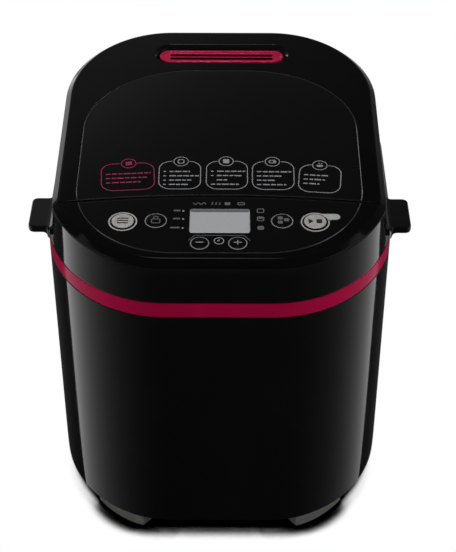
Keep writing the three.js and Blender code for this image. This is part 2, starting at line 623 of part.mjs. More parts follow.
function addConsole(parent, block) {
  addPiece(parent, "control_fascia", controlFascia(block), finishes.glossBlack);
  addPiece(parent, "fascia_inlay", fasciaInlay(), finishes.glossBlack);
  addPiece(parent, "control_board", controlBoard(), finishes.board);

  const plane = new THREE.Group();
  plane.position.z = TOP_Z;
  plane.rotation.x = TILT;
  parent.add(plane);

  const seat = -INLAY_POCKET + SEAT_GAP;
  const lensX = LENS.width / 2;
  const lensY = LENS.depth / 2;
  const lens = box([-lensX, -lensY, seat], [lensX, lensY, seat + LENS.thickness]);
  addPiece(plane, "lcd_lens", lens, finishes.clear).position.y = alongTop(LENS_Y);

  const lcdX = lensX + LCD_BORDER.x;
  const lcdY = lensY + LCD_BORDER.y;
  const lcd = box([-lcdX, -lcdY, SEAT_GAP - boardTop], [lcdX, lcdY, -CONSOLE_PLATE - SEAT_GAP]);
  addPiece(plane, "lcd_module", lcd, finishes.clear).position.y = alongTop(LENS_Y);

  const guide = prism(lightGuideShape(0), seat, seat + LIGHT_GUIDE.thickness);
  const ring = cut(guide, rod(START_STOP.radius + LIGHT_GUIDE.gap, -beyond, beyond));
  const lightGuide = addPiece(plane, "start_stop_light_guide", ring, finishes.clear);
  lightGuide.position.set(START_STOP.x, alongTop(buttonY(START_STOP)), 0);

  for (const button of BUTTONS) {
    const finish = { color: button.colour, roughness: 0.35, metalness: 0.3 };
    const mesh = addPiece(plane, button.name, buttonBody(button.radius), finish);
    mesh.position.set(button.x, alongTop(buttonY(button)), 0);
  }
}

// ---------------------------------------------------------------- lid

const skirtDrop = LID_HEIGHT - LID_GAP;
const LID_BACK = BACK - EDGE_INSET - CONSOLE_DRAFT;
const hingeY = LID_BACK - HINGE.inset;
const hingeZ = topHeight(LID_BACK) - skirtDrop + HINGE.aboveSkirt;
const cheekNear = HINGE.width / 2 + HINGE.side;
const cheekFar = cheekNear + HINGE.cheek;

// A slot outline with round ends, about the middle of the vent.
const stadium = (length, width) => roundedRectangle(length / 2, width / 2, width / 2, 0, VENT_Y);

// Room in the lid for the two hinge brackets.
function hingeNotches() {
  return SIDES.map(([, side]) => {
    const x = side * HINGE.x;
    const front = hingeY - HINGE.footLength - HINGE.room;
    const top = hingeZ + HINGE.knuckle + RUNNING_GAP;
    return box([x - cheekNear, front, TOP_Z - beyond], [x + cheekNear, BACK + WALL, top]);
  });
}

// Cheeks on both sides of each notch hold the pins.
function hingeCheeks() {
  const reach = 2 * HINGE.knuckle;
  return SIDES.flatMap(([, side]) => {
    const x = side * HINGE.x;
    return [
      box([x - cheekFar, hingeY - reach, hingeZ - reach], [x - cheekNear, BACK, hingeZ + reach]),
      box([x + cheekNear, hingeY - reach, hingeZ - reach], [x + cheekFar, BACK, hingeZ + reach]),
    ];
  });
}

const pinBores = () =>
  SIDES.map(([, side]) => {
    const x = side * HINGE.x;
    return crossRod(HINGE.pin + RUNNING_GAP, x - cheekFar - OVERLAP, x + cheekFar + OVERLAP, hingeY, hingeZ);
  });

const LINER_SCREWS = SIDES.map(([name, side]) => ({
  name,
  x: side * (LID_HALF_WIDTH - LINER_SCREW.inset),
  y: SEAM_Y + LINER_SCREW.behindSeam,
}));

// The largest body of a solid, which drops slivers left by a cut.
function largest(body) {
  return body.decompose().reduce((best, piece) => (piece.volume() > best.volume() ? piece : best));
}

function lidShell(block) {
  const lip = behindSeam(casing(-WALL), -skirtDrop, beyond, SEAM_GAP / 2);
  const relief = topPrism(consoleRegion(LID_FRONT_RELIEF), -beyond, -LID_LIP);
  const hollow = behindSeam(topOutline(LID_WALL), -beyond, -LID_WALL, LID_FRONT_RELIEF + LID_WALL);
  const pocket = behindSeam(inlayShape(0), -INLAY_POCKET, beyond, SEAM_GAP / 2 + INLAY_SEAM_RIM);
  const recessLength = VENT.length + 2 * VENT.margin;
  const recessWidth = VENT.width + 2 * VENT.margin;
  const trayShape = stadium(recessLength + 2 * LID_WALL, recessWidth + 2 * LID_WALL);
  const tray = topPrism(trayShape, -VENT_DEPTH - LID_WALL, -OVERLAP);
  const recess = topPrism(stadium(recessLength, recessWidth), -VENT_DEPTH, beyond);
  const steam = topPrism(stadium(VENT.length - 2 * VENT_LEDGE, VENT.width - 2 * VENT_LEDGE), -beyond, beyond);
  const bosses = LINER_SCREWS.map(({ x, y }) => rodOnTop(BOSS.radius, -LINER_DROP + SEAT_GAP, -OVERLAP, x, y));
  const pilotTop = -LINER_DROP + SCREW.length;
  const pilots = LINER_SCREWS.map(({ x, y }) => rodOnTop(SCREW.shank + RUNNING_GAP, -beyond, pilotTop, x, y));
  const cheeks = common(join(...hingeCheeks()), block, topPrism(casing(), -beyond, -OVERLAP));
  const shell = join(cut(common(block, lip), relief, hollow), tray, cheeks, ...bosses);
  return largest(cut(shell, pocket, recess, steam, ...pilots, ...hingeNotches(), ...pinBores()));
}

function lidInlay() {
  const low = -INLAY_POCKET + SEAT_GAP;
  const rim = SEAM_GAP / 2 + INLAY_SEAM_RIM + INLAY_SIDE_GAP;
  return behindSeam(inlayShape(INLAY_SIDE_GAP), low, low + INLAY_THICKNESS, rim);
}

function lidLiner() {
  const inset = LID_WALL + SEAT_GAP;
  const low = -LINER_DROP - LINER_THICKNESS;
  const sheet = behindSeam(topOutline(inset), low, -LINER_DROP, LID_FRONT_RELIEF + inset);
  const holes = LINER_SCREWS.map(({ x, y }) => rodOnTop(SCREW.shank + RUNNING_GAP, -beyond, 0, x, y));
  const { count, pitch, radius, ahead } = STEAM_HOLES;
  const steam = Array.from({ length: count }, (_, i) =>
    rodOnTop(radius, -beyond, 0, (i - (count - 1) / 2) * pitch, VENT_Y - ahead),
  );
  return cut(sheet, ...holes, ...steam, ...hingeNotches());
}

function ventInsert() {
  const low = -VENT_DEPTH + SEAT_GAP;
  const plate = topPrism(stadium(VENT.length, VENT.width), low, low + VENT_THICKNESS);
  const half = VENT.length / 2 - VENT.slotInset;
  const slots = [-1, 1].map((side) => {
    const y = VENT_Y + (side * VENT_SLOT_SPACING) / 2;
    return topBox([-half, y - VENT.slotWidth / 2, -beyond], [half, y + VENT.slotWidth / 2, beyond]);
  });
  return cut(plate, ...slots);
}

function addLid(parent, block) {
  addPiece(parent, "lid_shell", lidShell(block), finishes.glossBlack);
  addPiece(parent, "lid_inlay", lidInlay(), finishes.glossBlack);
  addPiece(parent, "lid_liner", lidLiner(), finishes.aluminium);
  addPiece(parent, "vent_insert", ventInsert(), finishes.crimson);
  for (const { name, x, y } of LINER_SCREWS) {
    const z = topHeight(y) - LINER_DROP - LINER_THICKNESS - SEAT_GAP - SCREW.head * SLOPE;
    addScrew(parent, `liner_screw_${name}`, x, y, z, true, SCREW.length - OVERLAP);
  }
  for (const [name, side] of SIDES) {
    const pin = crossRod(HINGE.pin, -cheekFar, cheekFar, 0, 0, ROUND);
    addPiece(parent, `hinge_pin_${name}`, pin, finishes.steel).position.set(side * HINGE.x, hingeY, hingeZ);
  }
}

// Bracket on the deck that carries one hinge pin.
function hingeBracket(side) {
  const left = side * HINGE.x - HINGE.width / 2;
  const right = left + HINGE.width;
  const low = -DECK_DROP + SEAT_GAP;
  const legBack = LID_BACK - WALL - SEAT_GAP;
  const leg = box([left, hingeY - HINGE.knuckle, TOP_Z - beyond], [right, legBack, hingeZ]);
  const foot = topBox([left, hingeY - HINGE.footLength, low], [right, legBack, low + HINGE.footHeight]);
  const knuckle = crossRod(HINGE.knuckle, left, right, hingeY, hingeZ);
  return cut(join(common(leg, topPrism(casing(), low, beyond)), foot, knuckle), ...pinBores());
}

// ---------------------------------------------------------------- baking chamber

function chamberPrism(grow, bottom, top) {
  const { halfX, halfY, corner } = CHAMBER;
  return prism(roundedRectangle(halfX + grow, halfY + grow, corner + grow, 0, LOAF_Y), bottom, top);
}

// Screws in the flange stand just outside the chamber's round corners.
function flangeScrewPlaces() {
  const cornerIn = CHAMBER.corner * (1 - Math.SQRT1_2);
  const x = CHAMBER.halfX - cornerIn + CHAMBER.flange;
  const y = CHAMBER.halfY - cornerIn + CHAMBER.flange;
  return SIDES.flatMap(([side, sign]) => [
    { name: `front_${side}`, x: sign * x, y: LOAF_Y - y },
    { name: `back_${side}`, x: sign * x, y: LOAF_Y + y },
  ]);
}

const flangeLow = -DECK_DROP + SEAT_GAP;
const chamberFloorTop = CHAMBER.floor + PLATE;
const chamberFront = LOAF_Y - CHAMBER.halfY - PLATE;

// A cutter through the chamber's front wall.
const frontHole = (radius, x, z) =>
  lengthRod(radius, chamberFront - OVERLAP, chamberFront + PLATE + OVERLAP, x, z);

function bakingChamber() {
  const high = topHeight(BACK);
  const { halfX, halfY, corner, flange, floor } = CHAMBER;
  const wide = roundedRectangle(halfX + 2 * flange, halfY + flange, corner + flange, 0, LOAF_Y);
  const tabs = topPrism(wide, flangeLow, flangeLow + PLATE);
  const above = topPrism(casing(-WALL), flangeLow + PLATE, beyond);
  const upright = cut(chamberPrism(PLATE, floor, high), above);
  const inside = chamberPrism(0, chamberFloorTop, high);
  const shaftHole = rod(shaftHoleRadius, 0, chamberFloorTop + OVERLAP, 0, LOAF_Y);
  const legHoles = SIDES.map(([, side]) => frontHole(BUSHING.radius + RUNNING_GAP, side * HEATER.legX, HEATER.z));
  const sensorHole = frontHole(SENSOR.radius + RUNNING_GAP, SENSOR.x, SENSOR.z);
  const screwHoles = flangeScrewPlaces().map(({ x, y }) => pilot(floor, high, x, y));
  return cut(join(upright, tabs), inside, shaftHole, ...legHoles, sensorHole, ...screwHoles);
}

// The heater's centre line: in through the front wall, once round the pan and out again.
function heaterPath() {
  const { sideGap, endGap, corner, z, legX, legOut, bend } = HEATER;
  const halfX = CHAMBER.halfX - sideGap;
  const front = LOAF_Y - CHAMBER.halfY + endGap;
  const back = LOAF_Y + CHAMBER.halfY - endGap;
  const at = (x, y) => new THREE.Vector3(x, y, z);
  const turns = [
    [at(-legX, front), bend],
    [at(-halfX, front), corner],
    [at(-halfX, back), corner],
    [at(halfX, back), corner],
    [at(halfX, front), corner],
    [at(legX, front), bend],
  ];
  return roundedPath(at(-legX, chamberFront - legOut), turns, at(legX, chamberFront - legOut));
}

// A line through corner points, each rounded by a curve that starts and ends a given way from it.
function roundedPath(start, turns, end) {
  const hug = 0.55;
  const path = new THREE.CurvePath();
  const stops = [start, ...turns.map(([point]) => point), end];
  let from = start;
  turns.forEach(([point, reach], i) => {
    const into = point.clone().sub(stops[i]).normalize();
    const out = stops[i + 2].clone().sub(point).normalize();
    const enter = point.clone().addScaledVector(into, -reach);
    const leave = point.clone().addScaledVector(out, reach);
    path.add(new THREE.LineCurve3(from, enter));
    const nearIn = enter.clone().lerp(point, hug);
    const nearOut = leave.clone().lerp(point, hug);
    path.add(new THREE.CubicBezierCurve3(enter, nearIn, nearOut, leave));
    from = leave;
  });
  path.add(new THREE.LineCurve3(from, end));
  return path;
}

// A bent rod along a path.
function wire(radius, path, steps) {
  const points = Array.from({ length: WIRE_SIDES }, (_, i) => {
    const angle = (2 * Math.PI * i) / WIRE_SIDES;
    return new THREE.Vector2(radius * Math.cos(angle), radius * Math.sin(angle));
  });
  const options = { extrudePath: path, steps, bevelEnabled: false };
  return solid(new THREE.ExtrudeGeometry(new THREE.Shape(points), options));
}

function heaterBushing(side) {
  const x = side * HEATER.legX;
  const back = chamberFront + PLATE;
  const front = back - BUSHING.length;
  const tube = lengthRod(BUSHING.radius, front, back, x, HEATER.z);
  const flange = lengthRod(BUSHING.radius + BUSHING.flange, front, chamberFront - SEAT_GAP, x, HEATER.z);
  const bore = HEATER.tube + 2 * RUNNING_GAP;
  return cut(join(tube, flange), lengthRod(bore, front - OVERLAP, back + OVERLAP, x, HEATER.z));
}

function temperatureSensor() {
  const { radius, x, z, flange, flangeThickness, body } = SENSOR;
  const seat = chamberFront - SEAT_GAP;
  const tip = LOAF_Y - PAN_HALF_Y - 2 * SEAT_GAP;
  return join(
    lengthRod(radius, chamberFront - body, tip, x, z),
    lengthRod(flange, seat - flangeThickness, seat, x, z),
  );
}

const shaftHoleRadius = BUSH.radius + SEAT_GAP + PAN_FOOT.wall;
const panFootBottom = chamberFloorTop + SOCKET.floor;

// Round seat for the pan's foot on the chamber floor.
function panSocket() {
  const inner = PAN_FOOT.radius + RUNNING_GAP;
  const outer = inner + SOCKET.wall;
  const top = chamberFloorTop + SOCKET.height;
  const profile = [
    [shaftHoleRadius, chamberFloorTop],
    [outer, chamberFloorTop],
    [outer, top - SOCKET.bevel],
    [outer - SOCKET.bevel, top],
    [inner, top],
    [inner, panFootBottom],
    [shaftHoleRadius, panFootBottom],
  ];
  return turned(profile, LARGE_ROUND).translate([0, LOAF_Y, 0]);
}

// ---------------------------------------------------------------- bread pan

const panShape = (grow) => roundedRectangle(PAN_HALF_X + grow, PAN_HALF_Y + grow, PAN.corner + grow, 0, LOAF_Y);
const bailZ = PAN.top - EAR.height / 2;
const earOut = PAN_HALF_X + PAN.rim + EAR.thickness;

// A box between two distances from the middle, on the left or the right.
function sideBox(side, near, far, low, high) {
  const left = side < 0 ? -far : near;
  const right = side < 0 ? -near : far;
  return box([left, ...low], [right, ...high]);
}

function breadPan() {
  const body = prism(panShape(0), PAN.bottom, PAN.top);
  const rim = prism(panShape(PAN.rim), PAN.top - PAN.rimThickness, PAN.top);
  const room = prism(panShape(-PAN.wall), PAN.bottom + PAN.wall, PAN.top + OVERLAP);
  const foot = rod(PAN_FOOT.radius, panFootBottom, PAN.bottom + PAN.wall, 0, LOAF_Y, LARGE_ROUND);
  const footRoom = rod(PAN_FOOT.radius - PAN_FOOT.wall, 0, PAN.bottom, 0, LOAF_Y, LARGE_ROUND);
  const bushHole = rod(BUSH.neck, 0, PAN.bottom + 2 * PAN.wall, 0, LOAF_Y);
  const earLow = [LOAF_Y - EAR.width / 2, PAN.top - EAR.height];
  const earHigh = [LOAF_Y + EAR.width / 2, PAN.top];
  const ears = SIDES.map(([, side]) => sideBox(side, PAN_HALF_X - PAN.wall, earOut, earLow, earHigh));
  const pivots = common(crossRod(EAR.hole, -HALF_WIDTH, HALF_WIDTH, LOAF_Y, bailZ), join(...ears));
  return cut(join(body, rim, ...ears, foot), room, footRoom, bushHole, pivots);
}

// Bearing bush in the pan's floor.
function panBush() {
  const bore = PAN_SHAFT_RADIUS + RUNNING_GAP;
  const neck = BUSH.neck - RUNNING_GAP;
  const profile = [
    [bore, PAN.bottom - BUSH.below],
    [BUSH.radius, PAN.bottom - BUSH.below],
    [BUSH.radius, PAN.bottom],
    [neck, PAN.bottom],
    [neck, bushTop],
    [bore, bushTop],
  ];
  return turned(profile).translate([0, LOAF_Y, 0]);
}

// Wire bail, folded down beside the rim towards the back of the pan.
function panBail() {
  const x = earOut + BAIL.wire + RUNNING_GAP;
  const reach = PAN_HALF_Y + PAN.rim + BAIL.wire + 2 * RUNNING_GAP;
  const at = (across, back) => new THREE.Vector3(across, LOAF_Y + back, bailZ);
  const path = roundedPath(at(-x, 0), [[at(-x, reach), BAIL.bend], [at(x, reach), BAIL.bend]], at(x, 0));
  const pins = SIDES.map(([, side]) => {
    const near = side * (PAN_HALF_X + PAN.rim);
    const far = side * (x + BAIL.wire / 2);
    return crossRod(BAIL.wire, Math.min(near, far), Math.max(near, far), LOAF_Y, bailZ, SMALL_ROUND);
  });
  return join(wire(BAIL.wire, path, WIRE_STEPS.bail), ...pins);
}

// ---------------------------------------------------------------- drive line

const couplingBase = panFootBottom + COUPLING.clear;
const bushTop = PAN.bottom + BUSH.rise;
const paddleLow = bushTop + PADDLE.lift;
const panShaftTop = paddleLow + PADDLE.hubHeight - PADDLE.cap;

// Kneading shaft in the pan, with two prongs below that the driver's bar turns.
function panShaft() {
  const flangeTop = PAN.bottom - BUSH.below - RUNNING_GAP;
  const flangeBottom = flangeTop - COUPLING.flange;
  const stem = turned([
    [0, flangeBottom],
    [COUPLING.radius, flangeBottom],
    [COUPLING.radius, flangeTop],
    [PAN_SHAFT_RADIUS, flangeTop],
    [PAN_SHAFT_RADIUS, panShaftTop],
    [0, panShaftTop],
  ]);
  const half = COUPLING.prongWidth / 2;
  const far = COUPLING.radius * Math.cos(Math.PI / ROUND) - SEAT_GAP;
  const near = far - COUPLING.prongDepth;
  const prongs = [
    box([-half, near, couplingBase], [half, far, flangeTop - OVERLAP]),
    box([-half, -far, couplingBase], [half, -near, flangeTop - OVERLAP]),
  ];
  return join(stem, ...prongs).translate([0, LOAF_Y, 0]);
}

function kneadingPaddle() {
  const { hub, hubHeight, length, height, thickness, cap, draft, nose } = PADDLE;
  const bore = PAN_SHAFT_RADIUS + RUNNING_GAP;
  const boreTop = panShaftTop + SEAT_GAP;
  const hubTop = paddleLow + hubHeight + cap;
  const boss = turned([
    [0, boreTop],
    [bore, boreTop],
    [bore, paddleLow],
    [hub, paddleLow],
    [hub - draft, hubTop],
    [0, hubTop],
  ]);
  const root = hub / 2 + draft;
  const blade = new THREE.Shape();
  blade.moveTo(root, paddleLow);
  blade.lineTo(length, paddleLow);
  blade.quadraticCurveTo(length, paddleLow + height, length - nose, paddleLow + height);
  blade.quadraticCurveTo(hub + draft, paddleLow + height, root, paddleLow + hubHeight);
  const options = { depth: thickness, bevelEnabled: false, curveSegments: CURVE_SEGMENTS };
  const fin = new THREE.ExtrudeGeometry(blade, options).rotateX(Math.PI / 2).translate(0, thickness / 2, 0);
  return cut(join(boss, solid(fin)), rod(bore, 0, boreTop)).translate([0, LOAF_Y, 0]);
}

function driveShaft() {
  const half = COUPLING.barWidth / 2;
  const reach = COUPLING.radius - OVERLAP;
  const stem = rod(SHAFT_RADIUS, PULLEY.bottom - SHAFT_END, couplingBase + OVERLAP);
  const bar = box([-reach, -half, couplingBase], [reach, half, couplingBase + COUPLING.barHeight]);
  return join(stem, bar).translate([0, LOAF_Y, 0]);
}

// Grooved pulley on its own axis: two flanges with the belt between them.
function pulley(radius, bore, segments) {
  const { bottom, top, beltInset, flange } = PULLEY;
  const profile = [
    [bore, bottom],
    [radius + flange, bottom],
    [radius + flange, bottom + beltInset],
    [radius, bottom + beltInset],
    [radius, top - beltInset],
    [radius + flange, top - beltInset],
    [radius + flange, top],
    [bore, top],
  ];
  return turned(profile, segments);
}

function largePulley() {
  return pulley(PULLEY.large, SHAFT_RADIUS + RUNNING_GAP, LARGE_ROUND).translate([0, LOAF_Y, 0]);
}

function motorPulley() {
  const shaft = rod(MOTOR.shaft, PULLEY.bottom - SHAFT_END, FRAME.top + MOTOR.shaftIn);
  return join(pulley(PULLEY.small, MOTOR.shaft / 2, ROUND), shaft).translate([0, MOTOR.y, 0]);
}

// Outline of a loop round both pulleys, let out by a margin.
function beltShape(margin) {
  const lean = Math.asin((PULLEY.large - PULLEY.small) / (LOAF_Y - MOTOR.y));
  const shape = new THREE.Shape();
  shape.absarc(0, LOAF_Y, PULLEY.large + margin, -lean, Math.PI + lean, false);
  shape.absarc(0, MOTOR.y, PULLEY.small + margin, Math.PI + lean, 2 * Math.PI - lean, false);
  return shape;
}

function driveBelt() {
  const low = PULLEY.bottom + PULLEY.beltInset + RUNNING_GAP;
  const high = PULLEY.top - PULLEY.beltInset - RUNNING_GAP;
  const inner = 2 * RUNNING_GAP;
  const loop = solid(prismGeometry(beltShape(inner + BELT_THICKNESS), low, high, ROUND / 2));
  return cut(loop, solid(prismGeometry(beltShape(inner), low - OVERLAP, high + OVERLAP, ROUND / 2)));
}

// Plate on four pillars that carries the motor and the shaft's bearing.
function driveFrame() {
  const { top, thickness, halfX, front, behindShaft, pillar, corner } = FRAME;
  const back = LOAF_Y + behindShaft;
  const shape = roundedRectangle(halfX, (back - front) / 2, corner, 0, (front + back) / 2);
  const plate = prism(shape, top - thickness, top);
  const pillarX = halfX - FRAME_PILLARS.side;
  const pillars = [front + FRAME_PILLARS.front, back - FRAME_PILLARS.side].flatMap((y) =>
    SIDES.map(([, side]) => rod(pillar, BASE_TOP, top - OVERLAP, side * pillarX, y)),
  );
  const shaftHole = rod(SHAFT_RADIUS + BEARING.seat, 0, top + OVERLAP, 0, LOAF_Y);
  const motorHole = rod(MOTOR.shaft + BEARING.seat, 0, top + OVERLAP, 0, MOTOR.y);
  return cut(join(plate, ...pillars), shaftHole, motorHole);
}

// Bearing between frame and chamber floor.
function shaftBearing() {
  const bore = SHAFT_RADIUS + RUNNING_GAP;
  const spigot = SHAFT_RADIUS + BEARING.seat - RUNNING_GAP;
  const profile = [
    [bore, FRAME.top - FRAME.thickness],
    [spigot, FRAME.top - FRAME.thickness],
    [spigot, FRAME.top],
    [BEARING.flange, FRAME.top],
    [BEARING.flange, FRAME.top + BEARING.flangeThickness],
    [BEARING.sleeve, FRAME.top + BEARING.flangeThickness],
    [BEARING.sleeve, chamberFloorTop],
    [bore, chamberFloorTop],
  ];
  return turned(profile).translate([0, LOAF_Y, 0]);
}

function motor() {
  const { radius, height, shaft, shaftIn, round, cap } = MOTOR;
  const bottom = FRAME.top;
  const top = bottom + height;
  const bore = shaft + RUNNING_GAP;
  const boreTop = bottom + shaftIn + round / 2;
  const profile = [
    [bore, bottom],
    [radius - round, bottom],
    [radius, bottom + round],
    [radius, top - round],
    [radius - round, top],
    [cap, top],
    [cap, top + round],
    [0, top + round],
    [0, boreTop],
    [bore, boreTop],
  ];
  return turned(profile, LARGE_ROUND).translate([0, MOTOR.y, 0]);
}

// ---------------------------------------------------------------- electrics

function powerBoardCorners() {
  const halfX = POWER_BOARD.width / 2 - POWER_BOARD.corner;
  const halfY = POWER_BOARD.length / 2 - POWER_BOARD.corner;
  return [-halfX, halfX].flatMap((x) =>
    [-halfY, halfY].map((y) => ({ x: POWER_BOARD.x + x, y: POWER_BOARD.y + y })),
  );
}

function powerBoard() {
  const { x, y, width, length, thickness, standoff } = POWER_BOARD;
  const low = BASE_TOP + standoff;
  const high = low + thickness;
  const middle = low + thickness / 2;
  const sheet = box([x - width / 2, y - length / 2, low], [x + width / 2, y + length / 2, high]);
  const blocks = [RELAY, TRANSFORMER, TERMINALS].map((part) =>
    box([x + part.x[0], y + part.y[0], middle], [x + part.x[1], y + part.y[1], high + part.height]),
  );
  const capacitor = rod(CAPACITOR.radius, middle, high + CAPACITOR.height, x + CAPACITOR.x, y + CAPACITOR.y);
  return join(sheet, capacitor, ...blocks);
}

// Gland in the rear wall, with its flange outside.
function cordGland() {
  const { x, z, radius, flange, flangeThickness, inside, bore } = GLAND;
  const wallBack = BACK - (WALL_DRAFT * (BAND_BOTTOM - z)) / (BAND_BOTTOM - FOOT_HEIGHT);
  const seat = wallBack + SEAT_GAP;
  const back = seat + flangeThickness;
  const body = lengthRod(radius, wallBack - WALL - inside, back, x, z);
  return cut(join(body, lengthRod(flange, seat, back, x, z)), lengthRod(bore, 0, BACK + WALL, x, z));
}

// ---------------------------------------------------------------- assembly

const block = topBlock();

addPiece(machine, "base_plate", basePlate(), finishes.steel);
addFeet(machine);
addPiece(machine, "lower_shell", lowerShell(), finishes.glossBlack);
addPiece(machine, "accent_band", accentBand(), finishes.crimson);
addPiece(machine, "upper_shell", upperShell(), finishes.glossBlack);
for (const [name, side] of SIDES) addPiece(machine, `side_lug_${name}`, sideLug(side), finishes.glossBlack);
for (const { name, x, y } of SCREW_PLACES) {
  addScrew(machine, `base_screw_${name}`, x, y, FOOT_HEIGHT + SCREW.headHeight, true);
}

addConsole(machine, block);

const lid = new THREE.Group();
lid.name = "lid";
machine.add(lid);
addLid(lid, block);
for (const [name, side] of SIDES) addPiece(machine, `hinge_bracket_${name}`, hingeBracket(side), finishes.mattBlack);

addPiece(machine, "baking_chamber", bakingChamber(), finishes.steel);
for (const { name, x, y } of flangeScrewPlaces()) {
  const z = topHeight(y) + flangeLow + PLATE + SEAT_GAP + SCREW.head * SLOPE;
  addScrew(machine, `chamber_screw_${name}`, x, y, z, false);
}
addPiece(machine, "heating_element", wire(HEATER.tube, heaterPath(), WIRE_STEPS.heater), finishes.steel);
for (const [name, side] of SIDES) addPiece(machine, `heater_bushing_${name}`, heaterBushing(side), finishes.ceramic);
addPiece(machine, "temperature_sensor", temperatureSensor(), finishes.brass);
addPiece(machine, "pan_socket", panSocket(), finishes.aluminium);

const pan = new THREE.Group();
pan.name = "pan";
machine.add(pan);
addPiece(pan, "bread_pan", breadPan(), finishes.nonStick);
addPiece(pan, "pan_bush", panBush(), finishes.brass);
addPiece(pan, "pan_bail", panBail(), finishes.steel);
addPiece(pan, "pan_shaft", panShaft(), finishes.steel);
addPiece(pan, "kneading_paddle", kneadingPaddle(), finishes.nonStick);

addPiece(machine, "drive_frame", driveFrame(), finishes.steel);
addPiece(machine, "drive_shaft", driveShaft(), finishes.steel);
addPiece(machine, "large_pulley", largePulley(), finishes.mattBlack);
addPiece(machine, "motor_pulley", motorPulley(), finishes.steel);
addPiece(machine, "drive_belt", driveBelt(), finishes.belt);
addPiece(machine, "shaft_bearing", shaftBearing(), finishes.brass);
addPiece(machine, "motor", motor(), finishes.steel);
addPiece(machine, "power_board", powerBoard(), finishes.board);
addPiece(machine, "cord_gland", cordGland(), finishes.rubber);

export default machine;
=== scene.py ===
"""Looks of an upright bread machine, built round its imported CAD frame.

Every length is in metres unless a name or a comment says millimetres, +Z is up and the front faces -Y, as
in the frame. Outlines are worked out as whole arrays and carried through rings into closed shells. Each
finish is a small node material.
"""

import json
import logging
import math
from dataclasses import dataclass, field
from enum import Enum
from typing import Iterable, Sequence

import bmesh
import bpy
import numpy as np
from mathutils import Euler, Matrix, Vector


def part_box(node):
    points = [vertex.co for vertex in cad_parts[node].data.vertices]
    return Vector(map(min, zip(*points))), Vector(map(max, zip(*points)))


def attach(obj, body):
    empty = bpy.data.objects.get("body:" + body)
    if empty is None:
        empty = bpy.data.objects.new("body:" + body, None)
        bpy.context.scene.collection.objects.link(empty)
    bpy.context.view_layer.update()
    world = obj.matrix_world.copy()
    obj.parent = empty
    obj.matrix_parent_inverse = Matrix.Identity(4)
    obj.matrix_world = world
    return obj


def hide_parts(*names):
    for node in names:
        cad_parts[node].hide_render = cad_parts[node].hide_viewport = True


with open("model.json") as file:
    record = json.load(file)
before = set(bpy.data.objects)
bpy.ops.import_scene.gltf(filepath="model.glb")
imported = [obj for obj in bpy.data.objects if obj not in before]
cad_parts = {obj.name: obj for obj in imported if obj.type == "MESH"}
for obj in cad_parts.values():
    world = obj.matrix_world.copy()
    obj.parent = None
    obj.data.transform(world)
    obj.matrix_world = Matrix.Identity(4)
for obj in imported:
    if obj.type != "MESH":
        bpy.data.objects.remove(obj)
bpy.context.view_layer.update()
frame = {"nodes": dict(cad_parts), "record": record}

Pair = tuple[float, float]
Triple = tuple[float, float, float]
Array = np.ndarray
columns = np.column_stack
Material = bpy.types.Material
Thing = bpy.types.Object
Socket = bpy.types.NodeSocket

MM = 0.001
SPLIT = 0.02 * MM  # half the gap between an outline's two parts where the seam crosses it
BOND = 0.25 * MM  # how far print reaches into the sheet that it lies on
WELD = 2e-6  # points nearer than this become one
SLIVER = 1e-7  # faces thinner than this are dropped
ROUND = 1e-5  # what a round end lacks of a full half circle, so that no two points meet
THROUGH = (-12.0, 8.0)  # heights over the top plane, in millimetres, between which a cutter runs
CHAMBER = (0.0, 28 * MM)
log = logging.getLogger("bread_machine")


# -------- arrays and meshes


class Fill(Enum):
    """What closes the two ends of a run of rings."""

    CAPS = "caps"
    JOIN = "join"


def node_box(node: str) -> tuple[Array, Array]:
    """Lowest and highest corner of a CAD node, as arrays."""
    low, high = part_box(node)
    return np.array(low), np.array(high)


def at_height(loop: Array, height: float | Array) -> Array:
    """The flat loop as points in space, at one height or at one height for each point."""
    return columns([loop, np.broadcast_to(height, (len(loop),))])


def across(loop: Array, y: float) -> Array:
    """A flat loop stood up across the machine at a place on y, so that its second number is the height."""
    return columns([loop[:, 0], np.full(len(loop), y), loop[:, 1]])


def along(loop: Array, x: float) -> Array:
    """A flat loop stood up along the machine at a place on x, so that its second number is the height."""
    return columns([np.full(len(loop), x), loop])


def mirrored(half: Array) -> Array:
    """A flat path from the right, carried on through its mirror image back to the left."""
    return np.vstack([half, half[::-1] * [-1, 1]])


def unit(rows: Array) -> Array:
    """Each row over its own length."""
    return rows / np.linalg.norm(rows, axis=1, keepdims=True)


def soft_min(a: Array, b: float, width: float) -> Array:
    """The lesser of a and b, rounded where they cross: their mix by h, less width * h * (1 - h)."""
    h = np.clip(0.5 + 0.5 * (b - a) / width, 0.0, 1.0)
    return b * (1 - h) + a * h - width * h * (1 - h)


def fall(short: float, radius: float) -> float:
    """A quarter circle's fall, short of its end: radius - sqrt(radius^2 - (radius - short)^2)."""
    into = max(radius - short, 0.0)
    return radius - math.sqrt(max(radius**2 - into**2, 0.0))


def quarter(run: float, rise: float, steps: int = 5) -> list[Pair]:
    """A quarter ellipse as (inwards, upwards) steps, which starts upright and ends level."""
    angles = np.linspace(0, np.pi / 2, steps + 1)
    return [(float(run * (1 - math.cos(a))), float(rise * math.sin(a))) for a in angles]


def circle(points: int, radius: float = 1.0, squash: float = 1.0) -> Array:
    """Evenly spaced points of a circle, whose reach on y may be squashed."""
    angle = np.linspace(0, 2 * np.pi, points, endpoint=False)
    return columns([radius * np.cos(angle), radius * squash * np.sin(angle)])


